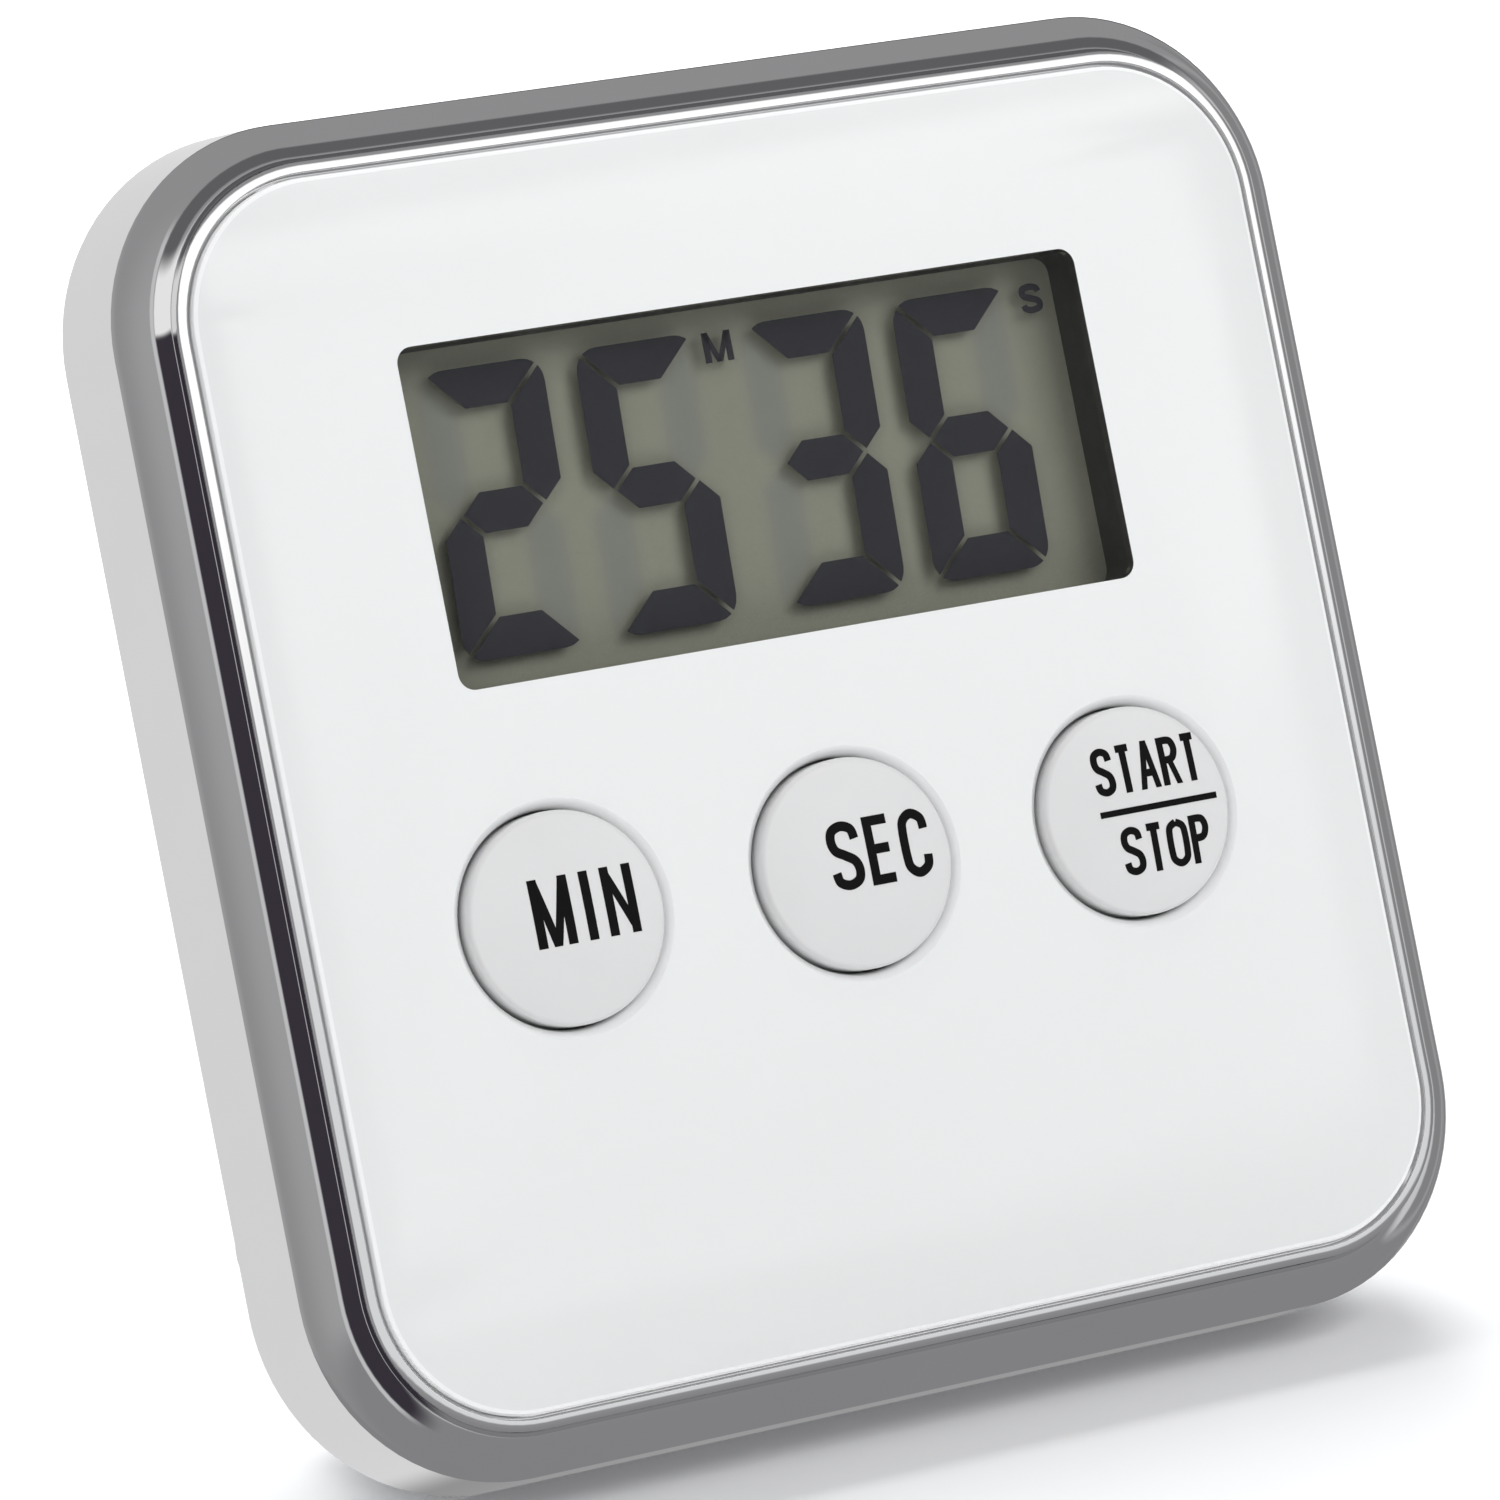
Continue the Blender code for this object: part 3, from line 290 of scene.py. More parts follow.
LOOKS = {
    "chrome": varied("mirror_chrome", (0.80, 0.80, 0.805), 1.0, 0.035, 700, 0.0012 * MM, 0.01),
    "wire": varied("plated_wire", (0.78, 0.78, 0.785), 1.0, 0.07, 1500, 0.002 * MM, 0.04),
    "white": varied("white_face", (0.815, 0.828, 0.828), 0.0, 0.10, 260, 0.0006 * MM, 0.006, 0.6),
    # The bevels' white is lighter than the face's: real polish and coat, plus a painted highlight in the
    # colour itself.
    "edge": varied("polished_edge_painted_highlight", (0.95, 0.955, 0.96), 0.0, 0.08, 400, 0.0006 * MM, 0.01, 1.0),
    "button": varied("satin_button", (0.715, 0.718, 0.72), 0.0, 0.33, 500, 0.0012 * MM, 0.03, 0.2),
    "ink": varied("black_ink", (0.006, 0.006, 0.006), 0.0, 0.5, 2500, 0.0005 * MM, 0.1, specular=0.08),
    "segment": varied(
        "liquid_crystal", (0.036, 0.036, 0.042), 0.0, 0.6, 400, 0.0001 * MM, 0.06, specular=0.1
    ),
    "dark": varied("black_recess", (0.052, 0.052, 0.051), 0.0, 0.6, 3000, 0.004 * MM, 0.15),
    "cover": varied("white_moulding", (0.74, 0.75, 0.755), 0.0, 0.48, 5200, 0.010 * MM, 0.03),
    "door": varied("door_moulding", (0.73, 0.74, 0.745), 0.0, 0.46, 5200, 0.010 * MM, 0.03),
    "ferrite": varied("ferrite_magnet", (0.055, 0.055, 0.058), 0.1, 0.5, 4000, 0.006 * MM, 0.25),
    "steel": varied("bright_steel", (0.60, 0.60, 0.61), 1.0, 0.26, 3500, 0.003 * MM, 0.08),
    "brass": varied("brass_disc", (0.74, 0.57, 0.27), 1.0, 0.32, 3000, 0.002 * MM, 0.1),
    "ceramic": varied("ceramic", (0.78, 0.78, 0.74), 0.0, 0.5, 3000, 0.003 * MM, 0.08),
    "board": varied("board_mask", (0.02, 0.16, 0.06), 0.0, 0.35, 2500, 0.003 * MM, 0.25, 0.3),
    "resin": varied("epoxy_drop", (0.014, 0.014, 0.015), 0.0, 0.3, 1500, 0.01 * MM, 0.2, 0.2),
    "rubber": varied("silicone", (0.42, 0.43, 0.44), 0.0, 0.8, 3000, 0.006 * MM, 0.08),
    "zebra": varied("zebra_rubber", (0.70, 0.42, 0.42), 0.0, 0.8, 8000, 0.004 * MM, 0.3),
    "plastic": varied("black_moulding", (0.026, 0.026, 0.027), 0.0, 0.5, 4000, 0.006 * MM, 0.15),
    "jacket": varied("cell_jacket", (0.07, 0.08, 0.10), 0.3, 0.3, 2500, 0.003 * MM, 0.2, 0.4),
    "red": varied("red_lead", (0.50, 0.025, 0.018), 0.0, 0.4, 3000, 0.004 * MM, 0.1),
    "black": varied("black_lead", (0.015, 0.015, 0.016), 0.0, 0.4, 3000, 0.004 * MM, 0.1),
    "lens": lens_material(),
    "reflector": reflector_material(),
}


# Mesh building.


def outline(offset, steps=CORNER_STEPS):
    """The plate's rounded rectangle grown by offset, as (x, z) points in order."""
    radius = PLATE_RADIUS + offset
    points = []
    for turned, (side_x, side_z) in enumerate(((1, 1), (-1, 1), (-1, -1), (1, -1))):
        middle_x = side_x * (PLATE_HALF[0] - PLATE_RADIUS)
        middle_z = side_z * (PLATE_HALF[1] - PLATE_RADIUS)
        for step in range(steps + 1):
            angle = math.pi / 2 * (turned + step / steps)
            points.append((middle_x + radius * math.cos(angle), middle_z + radius * math.sin(angle)))
    return points


def rounded_rectangle(centre, size, radius, steps=8):
    points = []
    for turned, (side_x, side_z) in enumerate(((1, 1), (-1, 1), (-1, -1), (1, -1))):
        middle_x = centre[0] + side_x * (size[0] / 2 - radius)
        middle_z = centre[1] + side_z * (size[1] / 2 - radius)
        for step in range(steps + 1):
            angle = math.pi / 2 * (turned + step / steps)
            points.append((middle_x + radius * math.cos(angle), middle_z + radius * math.sin(angle)))
    return points


def circle(centre, radius, steps=64):
    angles = [2 * math.pi * step / steps for step in range(steps)]
    return [(centre[0] + radius * math.cos(angle), centre[1] + radius * math.sin(angle)) for angle in angles]


def to_mesh(form, name):
    """A bmesh as a mesh with its faces pointing out."""
    bmesh.ops.recalc_face_normals(form, faces=form.faces)
    mesh = bpy.data.meshes.new(name)
    form.to_mesh(mesh)
    form.free()
    return mesh


def loft(form, rings, closed=False, slots=None):
    """Quads between rings of (x, y, z) points; the ends are capped unless the last ring meets the first."""
    loops = [[form.verts.new(place) for place in ring] for ring in rings]
    pairs = list(zip(loops, loops[1:]))
    if closed:
        pairs.append((loops[-1], loops[0]))
    for number, (ring, following) in enumerate(pairs):
        count = len(ring)
        for index in range(count):
            after = (index + 1) % count
            face = form.faces.new((ring[index], ring[after], following[after], following[index]))
            face.material_index = slots[number] if slots else 0
    if not closed:
        form.faces.new(loops[0]).material_index = slots[0] if slots else 0
        form.faces.new(loops[-1]).material_index = slots[-1] if slots else 0


def prism(outlines, front, back, form=None):
    """Flat outlines extruded along Y, each its own closed solid."""
    form = form or bmesh.new()
    for points in outlines:
        loft(form, [[(x, front, z) for x, z in points], [(x, back, z) for x, z in points]])
    return form


def section_solid(section, closed=False, steps=CORNER_STEPS, slots=None):
    """A solid whose section of (offset, depth) pairs follows the plate's outline."""
    form = bmesh.new()
    rings = [[(x, depth, z) for x, z in outline(offset, steps)] for offset, depth in section]
    loft(form, rings, closed, slots)
    return form


def turned(form, centre, profile, steps=64, slots=None):
    """A solid turned about a line along Y: profile lists (radius, depth) from one end to the other."""
    rings = []
    for radius, depth in profile:
        rings.append([(x, depth, z) for x, z in circle(centre, radius, steps)])
    loft(form, rings, slots=slots)
    return form


def finish_mesh(mesh, looks, smooth=True, angle=32):
    for look in looks:
        mesh.materials.append(LOOKS[look])
    if smooth:
        mesh.shade_smooth()
        mesh.set_sharp_from_angle(angle=math.radians(angle))


def piece(name, form, looks, body, replaced=(), angle=32):
    """A finished piece in the leaning frame, on its CAD body."""
    mesh = to_mesh(form, name) if isinstance(form, bmesh.types.BMesh) else form
    mesh.transform(UPRIGHT)
    finish_mesh(mesh, looks, angle=angle)
    made = bpy.data.objects.new(name, mesh)
    bpy.context.scene.collection.objects.link(made)
    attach(made, body)
    if replaced:
        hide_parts(*replaced)
    return made


def combined(form, cutters, operation="DIFFERENCE"):
    """The bmesh with other bmeshes cut from it or joined to it, as a bmesh."""
    base = bpy.data.objects.new("base", to_mesh(form, "base"))
    bpy.context.scene.collection.objects.link(base)
    helpers = [base]
    for cutter in cutters:
        helper = bpy.data.objects.new("helper", to_mesh(cutter, "helper"))
        bpy.context.scene.collection.objects.link(helper)
        modifier = base.modifiers.new("step", "BOOLEAN")
        modifier.operation = operation
        modifier.object = helper
        helpers.append(helper)
    graph = bpy.context.evaluated_depsgraph_get()
    result = bmesh.new()
    result.from_mesh(base.evaluated_get(graph).to_mesh())
    for helper in helpers:
        bpy.data.objects.remove(helper, do_unlink=True)
    return result


# The front.


def arc(centre, radius, start, end, steps):
    """(offset, depth) points of an arc, angles in degrees from outwards towards the back."""
    points = []
    for step in range(steps + 1):
        angle = math.radians(start + (end - start) * step / steps)
        points.append((centre[0] + radius * math.cos(angle), centre[1] + radius * math.sin(angle)))
    return points


def cove(end):
    """The scoop from the lip to a point on the crease: a quarter ellipse that stops short of flat."""
    start = LIP_GAP + LIP_WIDTH
    top = LIP_DEPTH + 0.2 * MM
    width = (end[0] - start) / (1 - math.sin(COVE_END))
    depth = (end[1] - top) / math.cos(COVE_END)
    points = []
    for step in range(COVE_STEPS + 1):
        angle = math.pi / 2 - (math.pi / 2 - COVE_END) * step / COVE_STEPS
        points.append((start + width * (1 - math.sin(angle)), top + depth * math.cos(angle)))
    return points


def make_surround():
    """The plated shell, with its lip, its scoop and its side, and the seat behind the plate."""
    bead = LIP_BEAD
    lip_out = LIP_GAP + LIP_WIDTH
    inner = RIM_OFFSET - SHELL_WALL
    section = [(LIP_LEDGE[0], SEAT_FRONT), LIP_LEDGE, (LIP_GAP, LIP_LEDGE[1] - 0.06 * MM)]
    section += arc((LIP_GAP + bead, LIP_DEPTH + bead), bead, 180, 270, 4)
    section += arc((lip_out - bead, LIP_DEPTH + LIP_TILT + bead), bead, 278, 350, 4)
    section += cove((CREASE_OFFSET, CREASE_DEPTH))
    section.append((CREASE_OFFSET + CREASE_EDGE[0], CREASE_DEPTH + CREASE_EDGE[1]))
    section += [(RIM_OFFSET, RIM_DEPTH - RIM_EDGE), (RIM_OFFSET - RIM_EDGE, RIM_DEPTH)]
    section += [(inner, RIM_DEPTH), (inner - 0.4 * MM, CREASE_DEPTH + 1.6 * MM), (LIP_GAP, SEAT_BACK)]
    shell = section_solid(section)
    cutters = [prism([rounded_rectangle(WINDOW_CENTRE, DISPLAY_OPENING, 0.5 * MM)], MM, 4 * MM)]
    for node in BUTTONS.values():
        place = centre_of(node)
        cutters.append(prism([circle((place.x, place.z), BUTTON_HOLE)], MM, 4 * MM))
    made = combined(shell, cutters)
    piece("chrome_surround", made, ["chrome"], "case", ["chrome_shell"])


PRINT_BACK = upright_box("face_print")[1].y


def make_face():
    """The white face: polished bevels round its edge and its button holes, in a lighter white that paints
    their highlight, and an open window.
    """
    low = PRINT_BACK
    section = [(-PLATE_BEVEL, 0.0), (-PLATE_BEVEL * 0.35, PLATE_BEVEL * 0.3), (0.0, PLATE_BEVEL), (0.0, low)]
    cutters = [prism([rounded_rectangle(WINDOW_CENTRE, WINDOW_SIZE, WINDOW_RADIUS)], -MM, 3 * MM)]
    for node in BUTTONS.values():
        place = centre_of(node)
        cone = bmesh.new()
        profile = [
            (BUTTON_HOLE + HOLE_CHAMFER + MM, -MM),
            (BUTTON_HOLE + HOLE_CHAMFER, 0),
            (BUTTON_HOLE, HOLE_CHAMFER),
            (HOLE_NARROW, 2.5 * HOLE_CHAMFER),
            (HOLE_NARROW, 3 * MM),
        ]
        cutters.append(turned(cone, (place.x, place.z), profile, 96))
    made = combined(section_solid(section), cutters)
    for face in made.faces:
        made_normal = face.normal
        place = face.calc_center_median()
        # Tilted faces, the polished bevels, take the lighter white: a painted highlight on top of their real
        # gloss.
        tilted = 0.2 < -made_normal.y < 0.95
        face.material_index = 1 if tilted else 0
        window_x = abs(place.x - WINDOW_CENTRE[0]) <= WINDOW_SIZE[0] / 2 + 0.01 * MM
        window_z = abs(place.z - WINDOW_CENTRE[1]) <= WINDOW_SIZE[1] / 2 + 0.01 * MM
        if window_x and window_z and abs(made_normal.y) < 0.1:
            face.material_index = 2
    piece("white_face", made, ["white", "edge", "dark"], "case", ["face_plate", "face_print"])


def make_window():
    """The clear pane over the display and the dark frame round it."""
    inset = (WINDOW_SIZE[0] - 0.04 * MM, WINDOW_SIZE[1] - 0.04 * MM)
    pane = prism([rounded_rectangle(WINDOW_CENTRE, inset, WINDOW_RADIUS)], 0.25 * MM, 0.6 * MM)
    lens = piece("window_pane", pane, ["lens"], "case")
    lens.visible_shadow = False
    outer = (WINDOW_SIZE[0] + 3 * MM, WINDOW_SIZE[1] + 3 * MM)
    ring_outline = rounded_rectangle(WINDOW_CENTRE, outer, WINDOW_RADIUS)
    ring = prism([ring_outline], PRINT_BACK + 0.02 * MM, REFLECTOR_PLANE)
    hole = prism([rounded_rectangle(WINDOW_CENTRE, WINDOW_SIZE, WINDOW_RADIUS)], MM, 5 * MM)
    piece("display_gasket", combined(ring, [hole]), ["dark"], "case", ["lcd_gasket"])


def clip(polygon, point, normal):
    """The part of a convex polygon on the side of a line that normal points to."""
    kept = []
    for here, after in zip(polygon, polygon[1:] + polygon[:1]):
        inside = (here[0] - point[0]) * normal[0] + (here[1] - point[1]) * normal[1]
        outside = (after[0] - point[0]) * normal[0] + (after[1] - point[1]) * normal[1]
        if inside >= 0:
            kept.append(here)
        if inside * outside < 0:
            share = inside / (inside - outside)
            kept.append((here[0] + (after[0] - here[0]) * share, here[1] + (after[1] - here[1]) * share))
    return kept


def segment_shapes():
    """The seven segments of one digit, about the middle of its width, by their usual letters."""
    height = DIGIT_HIGH - DIGIT_LOW
    half = height / 2
    inner_x = DIGIT_HALF_WIDTH - DIGIT_STROKE
    inner_z = half - DIGIT_STROKE
    middle = DIGIT_STROKE / 2
    body = rounded_rectangle((0, 0), (2 * DIGIT_HALF_WIDTH, height), DIGIT_CORNER, 5)
    slip = DIGIT_GAP / math.sqrt(2) / 2
    top = clip(body, (0, inner_z), (0, 1))
    top = clip(top, (inner_x - slip, inner_z + slip), (-1, 1))
    top = clip(top, (-inner_x + slip, inner_z + slip), (1, 1))
    right = clip(body, (inner_x, 0), (1, 0))
    right = clip(right, (inner_x + slip, inner_z - slip), (1, -1))
    right = clip(right, (inner_x + slip, middle + slip), (1, 1))
    right = clip(right, (DIGIT_HALF_WIDTH, middle + slip), (-1, 1))
    bar = clip(body, (0, middle), (0, -1))
    bar = clip(bar, (0, -middle), (0, 1))
    for side_x in (-1, 1):
        for side_z in (-1, 1):
            corner = (side_x * (inner_x - slip), side_z * (middle - slip))
            bar = clip(bar, corner, (-side_x, -side_z))
    shapes = {"a": top, "g": bar, "b": right}
    shapes["d"] = [(x, -z) for x, z in top]
    shapes["c"] = [(x, -z) for x, z in right]
    shapes["f"] = [(-x, z) for x, z in right]
    shapes["e"] = [(-x, -z) for x, z in right]
    return shapes


def slanted(points, centre):
    """Digit points moved to their place on the display and leaned over."""
    half = (DIGIT_HIGH - DIGIT_LOW) / 2
    middle = (DIGIT_HIGH + DIGIT_LOW) / 2
    return [(centre + x + (z + half * 0.45) * DIGIT_SLANT, middle + z) for x, z in points]


def inside_share(x, z, polygon, soft):
    """From 1 well inside a convex polygon to 0 outside it, over the width soft."""
    area = sum(a[0] * b[1] - b[0] * a[1] for a, b in zip(polygon, polygon[1:] + polygon[:1]))
    turn = 1 if area > 0 else -1
    nearest = soft
    for start, end in zip(polygon, polygon[1:] + polygon[:1]):
        length = math.hypot(end[0] - start[0], end[1] - start[1])
        if length > 0:
            across = (end[0] - start[0]) * (z - start[1]) - (end[1] - start[1]) * (x - start[0])
            nearest = min(nearest, turn * across / length + soft / 2)
    return max(0.0, nearest / soft)


def make_display():
    """The dark segments, the reflector behind them with its faint unlit segments, and two small letters."""
    shapes = segment_shapes()
    lit = []
    unlit = []
    for centre, names in zip(DIGIT_CENTRES, SEGMENTS_ON):
        lit += [slanted(shapes[name], centre) for name in names]
        unlit += [slanted(shapes[name], centre) for name in "bcef" if name not in names]
    digits = prism(lit, DIGIT_PLANE, DIGIT_PLANE + SHEET)
    piece("display_digits", digits, ["segment"], "case", ["lcd_glass"])
    letters = bmesh.new()
    surface = flat_place(DIGIT_PLANE)
    draw_word(letters, "M", ((-1.72 * MM, 19.75 * MM, 1.7 * MM, 1.62 * MM),), 0.38 * MM, surface)
    draw_word(letters, "S", ((17.58 * MM, 19.75 * MM, 1.35 * MM, 1.62 * MM),), 0.36 * MM, surface)
    piece("display_letters", letters, ["segment"], "case")
    size = (WINDOW_SIZE[0] + 2 * MM, WINDOW_SIZE[1] + 2 * MM)
    columns = round(size[0] / REFLECTOR_PITCH)
    rows = round(size[1] / REFLECTOR_PITCH)
    form = bmesh.new()
    bmesh.ops.create_grid(form, x_segments=columns, y_segments=rows, size=0.5)
    for vertex in form.verts:
        across = WINDOW_CENTRE[0] + vertex.co.x * size[0]
        vertex.co = (across, REFLECTOR_PLANE + 0.02 * MM, WINDOW_CENTRE[1] + vertex.co.y * size[1])
    grown = bmesh.ops.extrude_face_region(form, geom=form.faces[:])
    corners = [item for item in grown["geom"] if isinstance(item, bmesh.types.BMVert)]
    bmesh.ops.translate(form, vec=(0, REFLECTOR_THICK, 0), verts=corners)
    mesh = to_mesh(form, "display_reflector")
    off = mesh.attributes.new("off_segment", "FLOAT", "POINT")
    for index, vertex in enumerate(mesh.vertices):
        shade = [inside_share(vertex.co.x, vertex.co.z, polygon, UNLIT_EDGE) for polygon in unlit]
        off.data[index].value = 0.6 * max(shade)
    piece("display_reflector", mesh, ["reflector"], "case", ["lcd_reflector"])


# Lettering: each letter is a few strokes in a box one wide and one high.


def curve_through(corners, steps=7):
    """Points along a Catmull-Rom curve through corners."""
    places = [Vector(corner) for corner in (corners[0], *corners, corners[-1])]
    route = []
    for before, start, end, after in zip(places, places[1:], places[2:], places[3:]):
        for step in range(steps):
            t = step / steps
            linear = (end - before) * t
            square = (2 * before - 5 * start + 4 * end - after) * t * t
            cubic = (3 * start - before - 3 * end + after) * t * t * t
            route.append((2 * start + linear + square + cubic) / 2)
    route.append(places[-1])
    return [tuple(point) for point in route]


BOWL = ((0, 1), (0.55, 1), (0.85, 0.95), (1, 0.78), (0.85, 0.6), (0.55, 0.53), (0, 0.53))
LETTERS = {
    "M": [((0, 0), (0, 1)), ((0, 1), (0.5, 0)), ((0.5, 0), (1, 1)), ((1, 1), (1, 0))],
    "I": [((0.5, 0), (0.5, 1))],
    "N": [((0, 0), (0, 1)), ((0, 1), (1, 0)), ((1, 0), (1, 1))],
    "E": [((0, 0), (0, 1)), ((0, 1), (1, 1)), ((0, 0.52), (0.92, 0.52)), ((0, 0), (1, 0))],
    "T": [((0, 1), (1, 1)), ((0.5, 0), (0.5, 1))],
    "A": [((0, 0), (0.5, 1)), ((0.5, 1), (1, 0)), ((0.17, 0.3), (0.83, 0.3))],
    "P": [((0, 0), (0, 1)), curve_through(BOWL)],
    "R": [((0, 0), (0, 1)), curve_through(BOWL), ((0.5, 0.53), (1, 0))],
    "S": [
        curve_through(
            ((1, 0.76), (0.9, 0.93), (0.5, 1), (0.1, 0.93), (0, 0.76), (0.13, 0.6), (0.5, 0.5), (0.87, 0.39),
             (1, 0.23), (0.9, 0.07), (0.5, 0), (0.1, 0.07), (0, 0.23))
        )
    ],
    "C": [
        curve_through(
            ((1, 0.72), (0.93, 0.9), (0.5, 1), (0.1, 0.9), (0, 0.7), (0, 0.3), (0.1, 0.1), (0.5, 0),
             (0.93, 0.1), (1, 0.28))
        )
    ],
    "O": [
        curve_through(
            ((0.5, 1), (0.1, 0.9), (0, 0.7), (0, 0.3), (0.1, 0.1), (0.5, 0), (0.9, 0.1), (1, 0.3), (1, 0.7),
             (0.9, 0.9), (0.5, 1))
        )
    ],
}


def flat_place(depth):
    """A rule that lays lettering on a flat surface at depth."""
    return lambda x, z: (depth, depth + SHEET)


def stroke(form, points, width, surface):
    """A flat ribbon of one width along points, laid on a surface, as a closed sheet."""
    dense = []
    for start, end in zip(points, points[1:]):
        steps = max(1, round(math.dist(start, end) / (0.4 * MM)))
        dense += [tuple(a + (b - a) * step / steps for a, b in zip(start, end)) for step in range(steps)]
    dense.append(points[-1])
    sections = []
    for index, (x, z) in enumerate(dense):
        before = dense[max(0, index - 1)]
        after = dense[min(len(dense) - 1, index + 1)]
        run = Vector((after[0] - before[0], after[1] - before[1])).normalized()
        across = Vector((-run.y, run.x)) * width / 2
        if len(points) == 2 and 0.3 < abs(run.y) < 0.999:
            across = Vector((-width * 0.44, 0)) * math.copysign(1, run.y)
        corners = []
        for side, layer in ((1, 0), (1, 1), (-1, 1), (-1, 0)):
            place = (x + side * across.x, z + side * across.y)
            corners.append((place[0], surface(*place)[layer], place[1]))
        sections.append(corners)
    loft(form, sections)


def draw_word(form, word, boxes, width, surface):
    """Letters in their boxes, each (left, bottom, width, height) to the outside of the strokes."""
    for letter, (left, bottom, wide, high) in zip(word, boxes):
        inner_wide = wide - width
        inner_high = high - width
        for points in LETTERS[letter]:
            start = (left + width / 2, bottom + width / 2)
            places = [(start[0] + x * inner_wide, start[1] + z * inner_high) for x, z in points]
            if len(points) == 2 and abs(points[0][0] - points[1][0]) < 0.6:
                low, high_end = sorted((places[0], places[1]), key=lambda place: place[1])
                stretch = width / 2
                down = stretch if min(points[0][1], points[1][1]) == 0 else 0
                up = stretch if max(points[0][1], points[1][1]) == 1 else 0
                places = [(low[0], low[1] - down), (high_end[0], high_end[1] + up)]
            stroke(form, places, width, surface)


def even_boxes(left, right, bottom, high, widths, gap):
    """Boxes for a word's letters, their widths given as shares, spread between left and right."""
    room = right - left - gap * (len(widths) - 1)
    boxes = []
    start = left
    for share in widths:
        wide = room * share / sum(widths)
        boxes.append((start, bottom, wide, high))
        start += wide + gap
    return boxes


def make_buttons():
    """The three caps, slightly domed, with their printed words."""
    words = {
        "min": [("MIN", (-2.03, 3.97), -1.4, 3.6, (2.2, 0.54, 1.8), 0.68, 0.53)],
        "sec": [("SEC", (-1.73, 4.37), -1.35, 3.65, (1.9, 1.7, 1.8), 0.35, 0.52)],
        "start_stop": [
            ("START", (-2.38, 4.27), 1.0, 2.6, (1.3, 1.2, 1.35, 1.25, 1.2), 0.14, 0.40),
            ("STOP", (-1.53, 3.97), -3.4, 2.6, (1.3, 1.2, 1.35, 1.2), 0.14, 0.40),
        ],
    }
    for key, node in BUTTONS.items():
        low, high = upright_box(node)
        centre = ((low.x + high.x) / 2, (low.z + high.z) / 2)
        top = low.y
        flat = CAP_RADIUS - CAP_EDGE
        shoulder = top + CAP_DOME

        def surface(x, z, centre=centre, top=top, flat=flat):
            """Just above and just below the domed top."""
            out = math.hypot(x - centre[0], z - centre[1]) / flat
            height = top + CAP_DOME * out * out
            return height - 0.012 * MM, height + 0.03 * MM

        profile = []
        for step in range(13):
            out = step / 12
            profile.append((max(out * flat, AXIS_RADIUS), top + CAP_DOME * out * out))
        for step in range(1, 6):
            angle = math.pi / 2 * step / 5
            profile.append((flat + CAP_EDGE * math.sin(angle), shoulder + CAP_EDGE * (1 - math.cos(angle))))
        profile += [(CAP_RADIUS, 3.6 * MM), (high.x - centre[0], 3.6 * MM), (high.x - centre[0], 4.3 * MM)]
        profile += [(2.6 * MM, 4.3 * MM), (2.6 * MM, high.y), (AXIS_RADIUS, high.y)]
        body = f"{key}_button"
        cap = turned(bmesh.new(), centre, profile, 96)
        piece(f"cap_{key}", cap, ["button"], body, [node])
        label = bmesh.new()
        for word, (left, right), bottom, tall, shares, gap, width in words[key]:
            row = centre[1] + bottom * MM
            sides = (centre[0] + left * MM, centre[0] + right * MM)
            boxes = even_boxes(*sides, row, tall * MM, shares, gap * MM)
            draw_word(label, word, boxes, width * MM, surface)
        if key == "start_stop":
            level = centre[1] + 0.05 * MM
            bar = [(centre[0] - 2.43 * MM, level), (centre[0] + 4.87 * MM, level)]
            stroke(label, bar, 0.34 * MM, surface)
        piece(f"words_{key}", label, ["ink"], body)


# The back.


def slab(low, high):
    """A box between two corners."""
    corners = [(low[0], low[2]), (high[0], low[2]), (high[0], high[2]), (low[0], high[2])]
    return prism([corners], low[1], high[1])


def disc(centre, radius, front, back, steps=48):
    return prism([circle(centre, radius, steps)], front, back)


def cross_rod(place, radius, start, end, steps=32):
    """A rod along X; place is its (y, z)."""
    form = bmesh.new()
    ring = circle(place, radius, steps)
    loft(form, [[(start, y, z) for y, z in ring], [(end, y, z) for y, z in ring]])
    return form


def stand_path(grown=0.0, foot_grown=0.0):
    """The wire stand's U in the (x, z) plane when it is folded, grown outwards, from hinge to hinge."""
    side = LEG_X - FOOT_BEND
    low = FOOT_Z + FOOT_BEND
    right = [(LEG_X + grown, HINGE_Z + foot_grown)]
    for step in range(13):
        angle = -math.pi / 2 * step / 12
        radius = FOOT_BEND + grown
        right.append((side + radius * math.cos(angle), low + radius * math.sin(angle)))
    return right + [(-x, z) for x, z in reversed(right)]


def stand_band(half, front, back):
    """A slab that follows the folded stand, half a width to each side of the wire."""
    points = stand_path(half, half) + list(reversed(stand_path(-half, half)))
    return prism([points], front, back)


